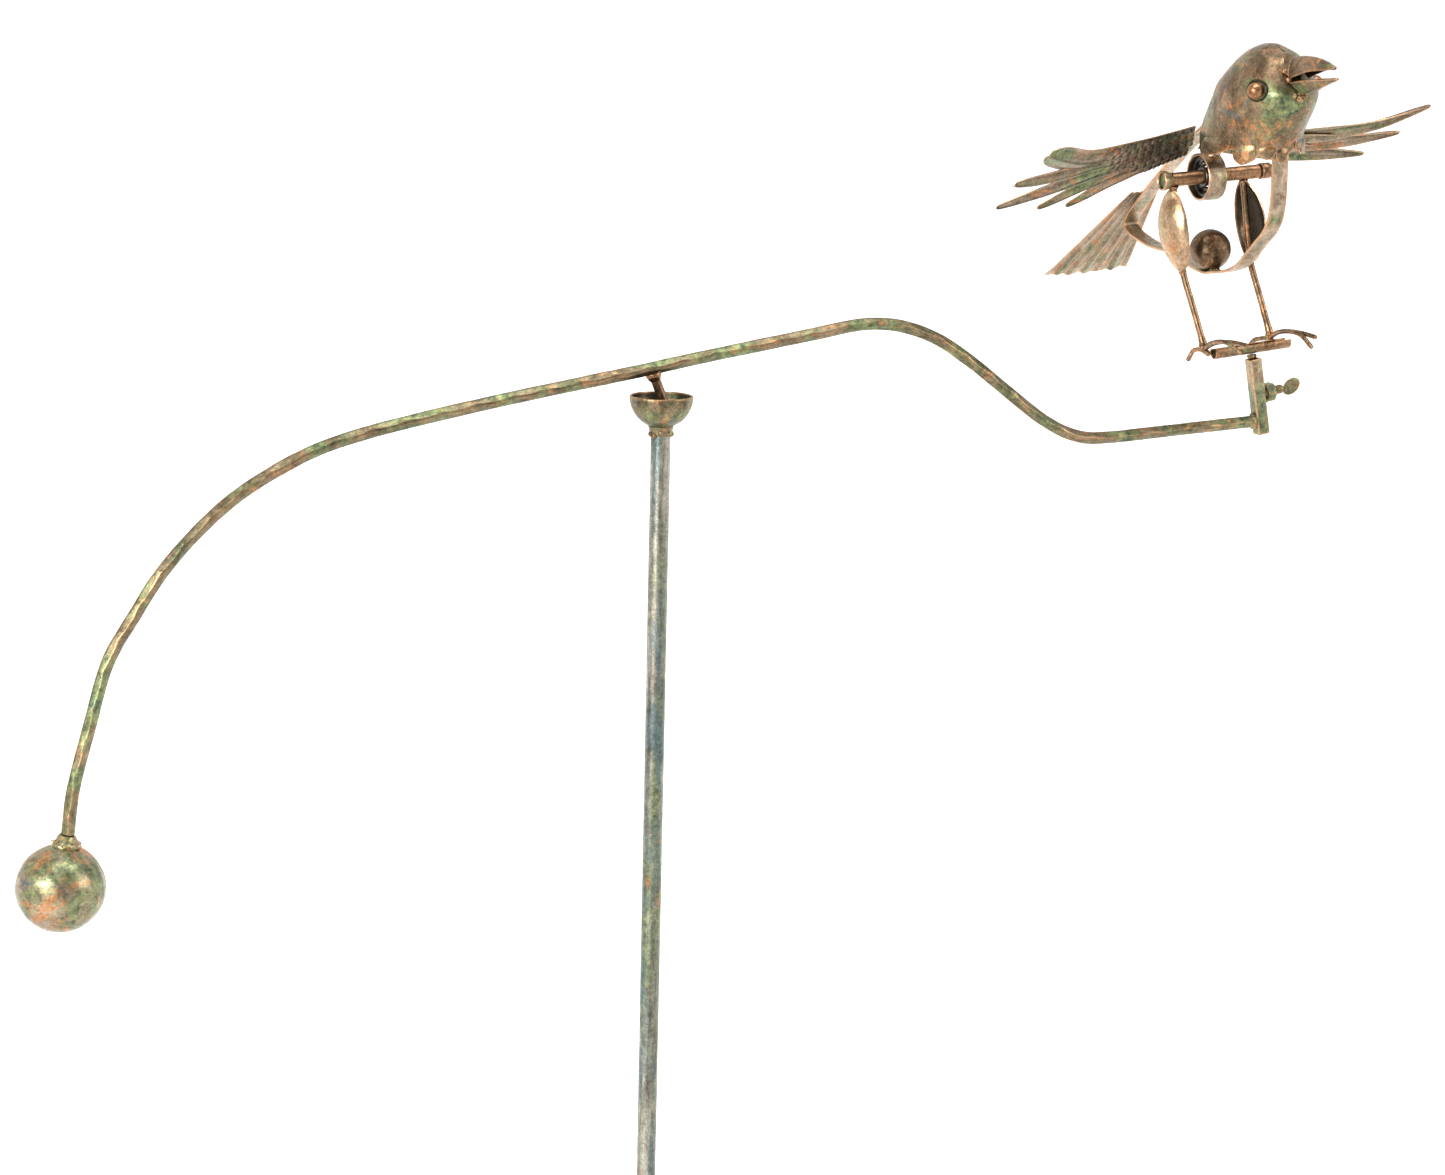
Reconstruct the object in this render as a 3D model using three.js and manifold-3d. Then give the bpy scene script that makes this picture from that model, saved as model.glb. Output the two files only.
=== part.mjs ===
// Whirligig: a balance arm that turns and tips on a needle in a bowl, with a rocking bird on one
// end and a ball on the other. Millimetres, +Z up, ground level at z = 0, pole on the Z axis.
import * as THREE from "three";
import Module from "manifold-3d";
import { mergeVertices } from "three/addons/utils/BufferGeometryUtils.js";

const wasm = await Module();
wasm.setup();

const GAP = 0.3; // running and welding clearance between pieces

// Stake
const POLE_R = 7;
const POLE_WALL = 1.5;
const POLE_SPLIT_Z = 380;
const SPIGOT_R = POLE_R - POLE_WALL - GAP;
const SPIGOT_REACH = 60; // into each half of the pole
const STEP_BAR = { length: 110, width: 22, height: 6 };
const SPIKE_DEPTH = 230;
const PRONG_DEPTH = 170;
const PRONG_R = 4;
const PRONG_INSET = 8; // from the ends of the step bar
const CUP_R = 22.5;
const CUP_WALL = 1.5;
const CUP_Z = 1217.5; // level of the cup's rim, which is also the centre of its sphere

// Needle bearing
const TIP_R = 2.5;
const TIP = { x: 7, z: 1200.7 };
const PIN_R = 3.5;
const PIN_LEAN = THREE.MathUtils.degToRad(-22.3);
const PIN_LENGTH = 36;

// Arm
const ARM_R = 4.3;
const ARM_STEPS = 96;
const LOZENGE = 25; // length of one hammered flat
const LOZENGE_DEPTH = 0.35;
const ARM_CORNERS = 0.25; // how far the corners between flats stand out
const ARM_LINE = [
  [-415.4, 933], [-411.5, 962], [-400, 1005], [-386.5, 1050], [-370, 1078], [-351, 1107],
  [-328, 1133], [-302, 1156], [-274, 1173.5], [-246, 1187], [-216, 1196.5], [-177, 1205.5],
  [-117, 1217.5], [-56, 1228.5], [-19, 1235], [26, 1243.5], [74, 1252], [111.5, 1258.5],
  [149, 1265], [169, 1265.2], [187.5, 1262], [211.5, 1253], [238.5, 1236], [267.5, 1214.5],
  [296.5, 1193.5], [317.5, 1182.5], [334.5, 1178], [355, 1177.8], [387, 1180], [429, 1183],
  [464, 1185.5], [484, 1187],
];
const BALL_R = 30;
const BALL_WALL = 1.5;
const BALL = { x: -420.8, z: 896 };
const BALL_LEAN = Math.atan2(5, 34);
const BALL_SEAM_TURN = THREE.MathUtils.degToRad(14);
const BALLAST_R = 26.546; // weighs enough to hold the arm at its rest angle

// Perch frame: leans with the post, origin on the post's axis just under the perch bar
const LEAN = THREE.MathUtils.degToRad(-11);
const PERCH = { x: 472, z: 1236 };
const TUBE = { outer: 10, inner: 7.6, length: 58, top: -2.2 };
const SCREW_Z = -30; // height of the thumbscrew's axis
const SCREW_R = 3.5;
const SCREW_END = 21.5;
const NUT_FLATS = 13;
const NUT_FROM = 6.8;
const NUT_HEIGHT = 6.5;
const NUT_WELD_R = 6.2;
const SCREW_WING = { x: 29.6, long: 7.8, short: 5.4, thick: 1.9, tilt: THREE.MathUtils.degToRad(-26) };
const POST_R = 2.5;
const POST_X = -1; // the thumbscrew holds the post against the far wall
const SCREW_FROM = POST_X + POST_R + GAP;
const POST_FOOT = -52;
const BAR = { outer: 4.3, wall: 1.2, height: 6, length: 64, x: -1.2, z: 2.1 };
const BAR_TILT = THREE.MathUtils.degToRad(4.2);
const SHANK_R = 2.5;
const TOE_R = 1.5;
const LEG_Y = 25; // the thighs hang in the axle's plane
const THIGH = { length: 62, width: 29.2, depth: 10 };
const THIGH_TURN = THREE.MathUtils.degToRad(14);

// Bird frame: origin at the centre of the axle, x across the bird, z up, the bird faces -y
const ROLL = THREE.MathUtils.degToRad(-5);
const AXLE = { x: 442.8, y: 25, z: 1368.9 };
const AXLE_R = 5.25;
const AXLE_FROM = -43;
const AXLE_TO = 48;
const CAP = { r: 7.5, length: 8 };
const COLLAR_R = 6;
const HOUSING = { outer: 17.75, inner: 15.95, from: -12, to: 3 };
const RACE_FROM = -8.5;
const RACE_TO = -0.5;
const RACE = { inner: 7.3, outer: 12.7 }; // radii of the two tracks
const BEARING_BALLS = 9;
const BEARING_BALL_R = 2.3;
const BALL_PITCH_R = 10;
const STRAP_WIDTH = 13;
const STRAP_THICK = 2;
const STRAP_LINE = [
  [98.4, 24], [97.2, 13], [96.5, 4], [94, -13], [89.5, -26], [82, -35], [72.5, -42], [57.5, -52.5],
  [46.5, -60.5], [36, -65.5], [20, -69.5], [5, -71.5], [-5, -72.6], [-28, -69.6], [-57, -62.5],
  [-94, -59.4], [-112, -55.5], [-124, -51.5], [-129.5, -46.5], [-127, -41], [-101, -21.5],
  [-60, 5], [-20, 28.4], [-5, 36], [4, 41],
];
const STRAP_WEIGHT = { r: 15.5, forward: -5, up: -55.8 };
const SHEET = 0.6; // head, wings and thighs
const TAIL_SHEET = 0.592; // weighs enough to balance the bird about its axle
const TAIL_PLEATS = 15;
const BEAK_SHEET = 0.8;
const EYE_R = 6;

const COLOURS = {
  pole: ["#5f6663", 0.5, 0.85],
  cup: ["#6f6a55", 0.5, 0.85],
  arm: ["#7d7350", 0.45, 0.85],
  ball: ["#7c8668", 0.45, 0.85],
  steel: ["#8d8f90", 0.35, 1],
  ballast: ["#5a5a58", 0.8, 0.4],
  clamp: ["#6d5a45", 0.5, 0.85],
  screw: ["#7a7468", 0.4, 0.95],
  leg: ["#7a5a3c", 0.5, 0.85],
  thigh: ["#80603f", 0.45, 0.85],
  head: ["#8a7352", 0.45, 0.85],
  strap: ["#7f8161", 0.45, 0.85],
  weight: ["#83603e", 0.4, 0.85],
  eye: ["#b97d4e", 0.3, 0.95],
  beak: ["#9a7650", 0.45, 0.85],
  wing: ["#7f8a6d", 0.45, 0.85],
  tail: ["#7b6a4c", 0.45, 0.85],
};

// Solids and meshes

function toSolid(geometry) {
  const bare = geometry.clone();
  bare.deleteAttribute("normal");
  bare.deleteAttribute("uv");
  const merged = mergeVertices(bare, 1e-3);
  return new wasm.Manifold(
    new wasm.Mesh({
      numProp: 3,
      vertProperties: merged.attributes.position.array,
      triVerts: new Uint32Array(merged.index.array),
    }),
  );
}

function fromSolid(solid) {
  const mesh = solid.getMesh();
  const geometry = new THREE.BufferGeometry();
  geometry.setAttribute("position", new THREE.BufferAttribute(mesh.vertProperties, 3));
  geometry.setIndex(new THREE.BufferAttribute(mesh.triVerts, 1));
  return geometry;
}

function union(...geometries) {
  return fromSolid(geometries.map(toSolid).reduce((sum, one) => sum.add(one)));
}

function subtract(geometry, ...tools) {
  return fromSolid(tools.map(toSolid).reduce((left, tool) => left.subtract(tool), toSolid(geometry)));
}

function signedVolume(geometry) {
  const p = geometry.attributes.position;
  const index = geometry.index.array;
  const [a, b, c] = [new THREE.Vector3(), new THREE.Vector3(), new THREE.Vector3()];
  let sum = 0;
  for (let i = 0; i < index.length; i += 3) {
    a.fromBufferAttribute(p, index[i]);
    b.fromBufferAttribute(p, index[i + 1]);
    c.fromBufferAttribute(p, index[i + 2]);
    sum += a.dot(b.cross(c)) / 6;
  }
  return sum;
}

function facingOut(geometry) {
  if (signedVolume(geometry) > 0) return geometry;
  const index = geometry.index.array;
  for (let i = 0; i < index.length; i += 3) {
    [index[i + 1], index[i + 2]] = [index[i + 2], index[i + 1]];
  }
  return geometry;
}

// A closed plate between two grids of points, front[row][column] and back[row][column].
function plate(front, back) {
  const rows = front.length;
  const cols = front[0].length;
  const positions = [...front.flat(), ...back.flat()].flatMap((p) => p.toArray());
  const index = [];
  const at = (side, i, j) => side * rows * cols + i * cols + j;
  const quad = (a, b, c, d) => index.push(a, b, c, a, c, d);
  for (let i = 0; i < rows - 1; i++) {
    for (let j = 0; j < cols - 1; j++) {
      quad(at(0, i, j), at(0, i, j + 1), at(0, i + 1, j + 1), at(0, i + 1, j));
      quad(at(1, i, j), at(1, i + 1, j), at(1, i + 1, j + 1), at(1, i, j + 1));
    }
    quad(at(0, i, 0), at(0, i + 1, 0), at(1, i + 1, 0), at(1, i, 0));
    quad(at(0, i + 1, cols - 1), at(0, i, cols - 1), at(1, i, cols - 1), at(1, i + 1, cols - 1));
  }
  for (let j = 0; j < cols - 1; j++) {
    quad(at(0, 0, j + 1), at(0, 0, j), at(1, 0, j), at(1, 0, j + 1));
    quad(at(0, rows - 1, j), at(0, rows - 1, j + 1), at(1, rows - 1, j + 1), at(1, rows - 1, j));
  }
  const geometry = new THREE.BufferGeometry();
  geometry.setAttribute("position", new THREE.Float32BufferAttribute(positions, 3));
  geometry.setIndex(index);
  return facingOut(geometry);
}

// Bent sheet metal: surface(s, t) gives the middle of the sheet for s and t from 0 to 1.
function sheet(surface, thickness, rows, cols) {
  const middle = [];
  for (let i = 0; i <= rows; i++) {
    middle.push(Array.from({ length: cols + 1 }, (_, j) => surface(i / rows, j / cols)));
  }
  const offset = (side) =>
    middle.map((row, i) =>
      row.map((p, j) => {
        const along = middle[Math.min(i + 1, rows)][j].clone().sub(middle[Math.max(i - 1, 0)][j]);
        const across = row[Math.min(j + 1, cols)].clone().sub(row[Math.max(j - 1, 0)]);
        const normal = along.cross(across).normalize();
        return p.clone().addScaledVector(normal, (side * thickness) / 2);
      }),
    );
  return plate(offset(1), offset(-1));
}

// Turned about the Z axis from [radius, z] points.
function turned(profile, segments) {
  const points = profile.map(([r, z]) => new THREE.Vector2(r, z));
  const lathe = new THREE.LatheGeometry(points, segments).rotateX(Math.PI / 2);
  lathe.deleteAttribute("normal");
  lathe.deleteAttribute("uv");
  return facingOut(mergeVertices(lathe, 1e-4));
}

function rod(radius, from, to, segments) {
  return turned([[0, from], [radius, from], [radius, to], [0, to]], segments);
}

function tube(outer, inner, from, to, segments) {
  return turned([[inner, from], [outer, from], [outer, to], [inner, to], [inner, from]], segments);
}

function sphere(radius, segments, rings) {
  const profile = Array.from({ length: rings + 1 }, (_, i) => {
    const angle = (i / rings) * Math.PI;
    return [i % rings ? radius * Math.sin(angle) : 0, -radius * Math.cos(angle)];
  });
  return turned(profile, segments);
}

function polygon(radius, sides) {
  const points = Array.from({ length: sides }, (_, i) => {
    const angle = (2 * Math.PI * (i + 0.5)) / sides;
    return new THREE.Vector2(radius * Math.cos(angle), radius * Math.sin(angle));
  });
  return new THREE.Shape(points);
}

// Round wire bent through [x, y, z] points.
function wire(points, radius, sides, steps) {
  const path = new THREE.CatmullRomCurve3(points.map((p) => new THREE.Vector3(...p)));
  return new THREE.ExtrudeGeometry(polygon(radius, sides), { steps, extrudePath: path });
}

// Flat bar bent through [forward, up] points, with its width across the bird.
function ribbon(line, thickness, width) {
  const middle = line.map(([f, u]) => new THREE.Vector2(f, u));
  const side = (sign) =>
    middle.map((p, i) => {
      const next = middle[Math.min(i + 1, middle.length - 1)];
      const last = middle[Math.max(i - 1, 0)];
      const along = next.clone().sub(last).normalize();
      return new THREE.Vector2(p.x - along.y * sign * thickness, p.y + along.x * sign * thickness);
    });
  const outline = new THREE.Shape([...side(0.5), ...side(-0.5).reverse()]);
  const bar = new THREE.ExtrudeGeometry(outline, { depth: width, bevelEnabled: false });
  return bar.translate(0, 0, -width / 2).applyMatrix4(sideways());
}

// Turns a shape drawn in (forward, up) into the bird's own axes.
function sideways() {
  return new THREE.Matrix4().makeBasis(
    new THREE.Vector3(0, -1, 0),
    new THREE.Vector3(0, 0, 1),
    new THREE.Vector3(-1, 0, 0),
  );
}

function birdPoint(lateral, forward, up) {
  return new THREE.Vector3(lateral, -forward, up);
}

// Straight lines between [x, y0, y1, ...] rows of a table.
function between(table, x) {
  let i = 0;
  while (i < table.length - 2 && x > table[i + 1][0]) i++;
  const share = (x - table[i][0]) / (table[i + 1][0] - table[i][0]);
  return table[i].slice(1).map((value, k) => value + share * (table[i + 1][k + 1] - value));
}

function group(x, y, z, turnY) {
  const made = new THREE.Group();
  made.position.set(x, y, z);
  made.rotation.y = turnY;
  return made;
}

function add(parent, name, geometry, finish) {
  const [color, roughness, metalness] = COLOURS[finish];
  const material = new THREE.MeshStandardMaterial({ color, roughness, metalness });
  const mesh = new THREE.Mesh(geometry, material);
  mesh.name = name;
  parent.add(mesh);
  return mesh;
}

// Stake

function addStake(root) {
  const { length, width, height } = STEP_BAR;
  const bar = new THREE.BoxGeometry(length, width, height).translate(0, 0, height / 2);
  add(root, "step_bar", bar, "pole");
  add(root, "centre_spike", spike(POLE_R, SPIKE_DEPTH), "pole");
  for (const [name, side] of [["left", -1], ["right", 1]]) {
    const prong = add(root, "prong_" + name, spike(PRONG_R, PRONG_DEPTH), "pole");
    prong.position.x = side * (length / 2 - PRONG_INSET);
  }
  const inner = POLE_R - POLE_WALL;
  const cupFoot = CUP_Z - CUP_R;
  add(root, "lower_pole", tube(POLE_R, inner, height + GAP, POLE_SPLIT_Z, 24), "pole");
  add(root, "upper_pole", tube(POLE_R, inner, POLE_SPLIT_Z + GAP, cupFoot + GAP, 24), "pole");
  const spigot = rod(SPIGOT_R, -SPIGOT_REACH, SPIGOT_REACH, 24).translate(0, 0, POLE_SPLIT_Z);
  add(root, "pole_spigot", spigot, "steel");
  add(root, "cup_weld", cupWeld(cupFoot), "pole");
  add(root, "pivot_cup", cup(), "cup");
}

function spike(radius, depth) {
  return turned([[0, -depth], [radius, -depth + 5 * radius], [radius, -GAP], [0, -GAP]], 20);
}

function cupWeld(z) {
  const profile = [
    [7.3, z - 4.5], [9.2, z - 3], [10.6, z - 0.5], [10.6, z + 1.8],
    [8.9, z + 1.2], [7.3, z + 0.7], [7.3, z - 4.5],
  ];
  return turned(profile, 24);
}

function cup() {
  const rings = 7;
  const arc = (radius, i) => {
    const angle = (i / rings) * (Math.PI / 2);
    return [i ? radius * Math.sin(angle) : 0, CUP_Z - radius * Math.cos(angle)];
  };
  const outer = Array.from({ length: rings + 1 }, (_, i) => arc(CUP_R, i));
  const inner = Array.from({ length: rings + 1 }, (_, i) => arc(CUP_R - CUP_WALL, rings - i));
  const lip = [[CUP_R - CUP_WALL / 2, CUP_Z + 0.5]];
  return turned([...outer, ...lip, ...inner], 28);
}

// Arm with its pivot pin, counterweight ball and clamp

function addNeedle(root) {
  const tip = add(root, "pivot_tip", sphere(TIP_R, 12, 8), "steel");
  tip.position.set(TIP.x, 0, TIP.z);
  const profile = [
    [0, TIP_R + GAP], [1.8, TIP_R + GAP], [PIN_R, 7.5], [PIN_R, PIN_LENGTH - 6],
    [4.6, PIN_LENGTH - 4.5], [5.9, PIN_LENGTH - 1], [5.9, PIN_LENGTH + 2.5], [0, PIN_LENGTH + 2.5],
  ];
  const pin = turned(profile, 20).rotateY(PIN_LEAN).translate(TIP.x, 0, TIP.z);
  const armRoom = armSweep(ARM_R + 2 * GAP, 12);
  add(root, "pivot_pin", subtract(pin, armRoom), "arm");
}

function armSweep(radius, sides) {
  const path = new THREE.CatmullRomCurve3(ARM_LINE.map(([x, z]) => new THREE.Vector3(x, 0, z)));
  const extrude = { steps: ARM_STEPS, extrudePath: path };
  return new THREE.ExtrudeGeometry(polygon(radius, sides), extrude);
}

// The arm's rod: four rows of long hammered flats, each row half a flat behind the next.
function hammeredArm() {
  const bar = armSweep(ARM_R + ARM_CORNERS, 8);
  const path = new THREE.CatmullRomCurve3(ARM_LINE.map(([x, z]) => new THREE.Vector3(x, 0, z)));
  const total = path.getLength();
  const stations = path.getSpacedPoints(ARM_STEPS);
  const p = bar.attributes.position;
  const here = new THREE.Vector3();
  for (let i = 0; i < p.count; i++) {
    here.fromBufferAttribute(p, i);
    const station = nearest(stations, here);
    const offset = here.clone().sub(stations[station]);
    const row = Math.abs(offset.y) > Math.hypot(offset.x, offset.z) ? 0 : 0.5;
    const phase = ((station / ARM_STEPS) * total) / LOZENGE + row;
    const dent = LOZENGE_DEPTH * (0.5 - 0.5 * Math.cos(2 * Math.PI * phase));
    here.copy(stations[station]).addScaledVector(offset, 1 - dent / ARM_R);
    p.setXYZ(i, here.x, here.y, here.z);
  }
  const face = new THREE.BoxGeometry(40, 40, 120).translate(20 - TUBE.outer / 2 - GAP, 0, -30);
  face.rotateY(LEAN).translate(PERCH.x, 0, PERCH.z);
  return subtract(bar, face);
}

function nearest(points, target) {
  let best = 0;
  points.forEach((point, i) => {
    if (point.distanceToSquared(target) < points[best].distanceToSquared(target)) best = i;
  });
  return best;
}

function addArm(root) {
  add(root, "balance_arm", hammeredArm(), "arm");
  const ball = group(BALL.x, 0, BALL.z, BALL_LEAN);
  ball.rotation.order = "YXZ";
  root.add(ball);
  const shell = toSolid(sphere(BALL_R, 24, 14)).subtract(toSolid(sphere(BALL_R - BALL_WALL, 20, 12)));
  const turn = Math.PI / 2 - BALL_SEAM_TURN;
  for (const [name, side] of [["left", -1], ["right", 1]]) {
    const normal = [side * Math.sin(turn), -side * Math.cos(turn), 0];
    add(ball, "ball_shell_" + name, fromSolid(shell.trimByPlane(normal, GAP / 2)), "ball");
  }
  add(ball, "ball_ballast", sphere(BALLAST_R, 16, 10), "ballast");
  add(ball, "ball_neck", ballNeck(), "ball");
}

function ballNeck() {
  const room = BALL_R + GAP;
  const seat = [0, 3.5, 7, 9.6].map((r) => [r, Math.sqrt(room * room - r * r)]);
  return turned([...seat, [8.6, 31.5], [6.6, 33.6], [5.7, 36.4], [0, 36.9]], 18);
}

function addClamp(root) {
  const frame = group(PERCH.x, 0, PERCH.z, LEAN);
  root.add(frame);
  const { outer, inner, length, top } = TUBE;
  const middle = top - length / 2;
  const block = new THREE.BoxGeometry(outer, outer, length).translate(0, 0, middle);
  const bore = new THREE.BoxGeometry(inner, inner, length + 2).translate(0, 0, middle);
  const hole = crosswise(rod(SCREW_R + GAP, 0, outer, 20));
  add(frame, "clamp_tube", subtract(block, bore, hole), "clamp");

  const weld = rod(NUT_WELD_R, outer / 2 + GAP, NUT_FROM + 0.1, 20);
  const corner = NUT_FLATS / 2 / Math.cos(Math.PI / 6);
  const nut = new THREE.ExtrudeGeometry(polygon(corner, 6), { depth: NUT_HEIGHT, bevelEnabled: false });
  nut.rotateZ(Math.PI / 6).translate(0, 0, NUT_FROM);
  const through = rod(SCREW_R + GAP, 0, 30, 20);
  add(frame, "clamp_nut", crosswise(subtract(union(weld, nut), through)), "clamp");

  const shank = [
    [0, SCREW_FROM], [2.4, SCREW_FROM], [SCREW_R, SCREW_FROM + 1.1],
    [SCREW_R, SCREW_END], [0, SCREW_END],
  ];
  add(frame, "clamp_screw_shank", crosswise(turned(shank, 20)), "screw");
  add(frame, "clamp_screw_wing", screwWing(), "screw");
}

// Lays a piece made along Z down along the thumbscrew's axis.
function crosswise(geometry) {
  return geometry.rotateY(Math.PI / 2).translate(0, 0, SCREW_Z);
}

function screwWing() {
  const { x, long, short, thick, tilt } = SCREW_WING;
  const outline = new THREE.Shape();
  outline.absellipse(0, 0, long, short, 0, 2 * Math.PI);
  const bevel = { bevelEnabled: true, bevelThickness: 0.6, bevelSize: 0.6, bevelSegments: 1 };
  const oval = new THREE.ExtrudeGeometry(outline, { depth: thick, curveSegments: 8, ...bevel });
  oval.translate(0, 0, -thick / 2).rotateX(Math.PI / 2).rotateY(tilt);
  oval.translate(x, 0, SCREW_Z);
  return oval;
}

// Perch: post, bar, feet, legs and axle

function addPerch(root) {
  const frame = group(PERCH.x, 0, PERCH.z, LEAN);
  root.add(frame);
  const post = [
    [0, POST_FOOT], [1.9, POST_FOOT], [POST_R, POST_FOOT + 0.8], [POST_R, -1.4],
    [3.6, -0.7], [4.1, 0.8], [3.2, 1.4], [0, 1.4],
  ];
  add(frame, "perch_post", turned(post, 20).translate(POST_X, 0, 0), "leg");
  const bar = add(frame, "perch_bar", perchBar(), "leg");
  bar.position.set(BAR.x, 0, BAR.z);
  bar.rotation.y = BAR_TILT;
  addLeg(frame, "left", -1, [[-33.5, 13, 15.7], [-36.8, LEG_Y, 69.6], [-36.6, LEG_Y, 133.6]]);
  addLeg(frame, "right", 1, [[23.5, 13, 12.8], [21, LEG_Y, 65.5], [22.3, LEG_Y, 127.4]]);
}

// Half tube lying open side up, its outside bottom at z = 0.
function perchBar() {
  const { outer, wall, height, length } = BAR;
  const inner = outer - wall;
  const shape = new THREE.Shape();
  shape.moveTo(outer, height);
  shape.lineTo(outer, outer);
  shape.absarc(0, outer, outer, 0, -Math.PI, true);
  shape.lineTo(-outer, height);
  shape.lineTo(-inner, height);
  shape.lineTo(-inner, outer);
  shape.absarc(0, outer, inner, -Math.PI, 0, false);
  shape.lineTo(inner, height);
  shape.closePath();
  const bar = new THREE.ExtrudeGeometry(shape, { depth: length, bevelEnabled: false, curveSegments: 10 });
  return bar.translate(0, 0, -length / 2).rotateX(Math.PI / 2).rotateZ(Math.PI / 2);
}

// One leg: the shank from the ankle over the knee to the axle, and the dished thigh outside it.
function addLeg(frame, name, side, [ankle, knee, top]) {
  const shank = straight(ankle, knee, SHANK_R);
  const upper = straight(knee, top, SHANK_R);
  const joint = sphere(SHANK_R, 12, 8).translate(...knee);
  const heel = sphere(SHANK_R + 0.4, 12, 8).translate(...ankle);
  add(frame, "shank_" + name, union(shank, upper, joint, heel), "leg");
  const room = straight(ankle, knee, SHANK_R + GAP);
  const upperRoom = straight(knee, [top[0], top[1], top[2] + 4], SHANK_R + GAP);
  const bend = sphere(SHANK_R + GAP, 12, 8).translate(...knee);
  const thigh = subtract(thighShell(side, knee, top), room, upperRoom, bend);
  add(frame, "thigh_" + name, thigh, "thigh");
}

function straight(from, to, radius) {
  const [a, b] = [new THREE.Vector3(...from), new THREE.Vector3(...to)];
  const bar = rod(radius, 0, a.distanceTo(b), 12);
  const turn = new THREE.Quaternion().setFromUnitVectors(
    new THREE.Vector3(0, 0, 1),
    b.clone().sub(a).normalize(),
  );
  return bar.applyQuaternion(turn).translate(...from);
}

function thighShell(side, knee, top) {
  const middle = (knee[2] + top[2]) / 2;
  return sheet(
    (s, t) => {
      const along = 2 * s - 1;
      const over = 2 * t - 1;
      const half = 1.2 + (THIGH.width / 2) * Math.pow(1 - along * along, 0.62);
      const depth = THIGH.depth * (1 - along * along) * Math.sqrt(1 - 0.9 * over * over);
      return new THREE.Vector3(side * (1 + depth), over * half, 0)
        .applyAxisAngle(new THREE.Vector3(0, 0, 1), THIGH_TURN)
        .add(new THREE.Vector3(knee[0], LEG_Y, middle + (along * THIGH.length) / 2));
    },
    SHEET,
    9,
    6,
  );
}

// Feet are measured from the axle, like the bird.
function addFeet(root) {
  const frame = group(AXLE.x, AXLE.y, AXLE.z, ROLL);
  root.add(frame);
  const left = [
    [[-17.5, 12, -128.2], [-18, 25, -121.6], [-17.9, 47, -118.3], [-16.5, 54, -121], [-14, 61, -125.2]],
    [[-17.5, 12, -128.2], [-14.5, 25, -121.8], [-10.8, 43, -119.5], [-7.1, 59, -120.4]],
    [[-17.5, 12, -128.2], [-18.5, 5, -128.6], [-19.4, 0.5, -130], [-22.4, -3, -137.6]],
    [[-17.5, 12, -128.2], [-16, 18.4, -130.8]],
  ];
  const right = [
    [[39.5, 12, -125.2], [40, 25, -119.2], [40.9, 54, -117.8], [43.1, 67, -126.4]],
    [[39.5, 12, -125.2], [42, 25, -119], [43.5, 50, -117.2], [45.3, 69, -118.5]],
    [[39.5, 12, -125.2], [37.2, 4, -126.2], [35.4, -5, -129], [34.1, -9, -135.3]],
    [[39.5, 12, -125.2], [40, 18.4, -128.6]],
  ];
  add(frame, "foot_left", foot(left), "leg");
  add(frame, "foot_right", foot(right), "leg");
  addAxle(frame);
}

function foot(toes) {
  const [lateral, forward, up] = toes[0][0];
  const heel = sphere(TOE_R + 0.5, 8, 6).translate(lateral, -forward, up);
  const wires = toes.map((toe) => wire(toe.map(([l, f, u]) => [l, -f, u]), TOE_R, 6, 3 * toe.length));
  return union(heel, ...wires);
}

function addAxle(frame) {
  const axle = across(rod(AXLE_R, AXLE_FROM + CAP.length, AXLE_TO - CAP.length, 24));
  add(frame, "axle_rod", axle, "leg");
  add(frame, "axle_cap", across(rod(CAP.r, AXLE_FROM, AXLE_FROM + CAP.length - GAP, 24)), "leg");
  add(frame, "axle_collar", across(rod(COLLAR_R, AXLE_TO - CAP.length + GAP, AXLE_TO + 1, 24)), "leg");
  add(frame, "bearing_inner_race", across(tube(RACE.inner, AXLE_R + GAP, RACE_FROM, RACE_TO, 24)), "steel");
}

// Lays a piece made along Z down along the axle.
function across(geometry) {
  return geometry.rotateY(Math.PI / 2);
}

// Bearing and bird

function addBearing(frame) {
  const middle = (RACE_FROM + RACE_TO) / 2;
  const ring = tube(BALL_PITCH_R + 0.8, BALL_PITCH_R - 0.8, middle - 1, middle + 1, 27);
  const balls = Array.from({ length: BEARING_BALLS }, (_, i) => {
    const angle = (2 * Math.PI * i) / BEARING_BALLS;
    const place = [BALL_PITCH_R * Math.cos(angle), BALL_PITCH_R * Math.sin(angle), middle];
    return sphere(BEARING_BALL_R, 7, 5).translate(...place);
  });
  add(frame, "bearing_cage", across(union(ring, ...balls)), "steel");
  const outer = HOUSING.inner - GAP;
  add(frame, "bearing_outer_race", across(tube(outer, RACE.outer, RACE_FROM, RACE_TO, 28)), "steel");
  const housing = across(tube(HOUSING.outer, HOUSING.inner, HOUSING.from, HOUSING.to, 32));
  add(frame, "bearing_housing", housing, "strap");
}

function addBody(frame) {
  add(frame, "body_strap", ribbon(STRAP_LINE, STRAP_THICK, STRAP_WIDTH), "strap");
  const weight = add(frame, "strap_weight", sphere(STRAP_WEIGHT.r, 18, 11), "weight");
  weight.position.copy(birdPoint(0, STRAP_WEIGHT.forward, STRAP_WEIGHT.up));
}

// Level cuts of the head and breast: up, then the cut's centre, half length and half width.
const HEAD = [
  [4, 56, 44.5, 31], [18, 57, 43.6, 33], [34, 58.8, 47.8, 32.3], [45, 65.4, 49.2, 32],
  [57, 74.4, 48.9, 32.9], [65, 79, 46.7, 32.3], [73, 81, 42.5, 30.3], [82, 83.6, 35, 25.4],
  [91, 85.6, 25.7, 18.1], [96, 84.8, 17, 11.2], [99, 86.3, 9, 4.8], [100, 87.8, 4.8, 0.3],
];
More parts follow.
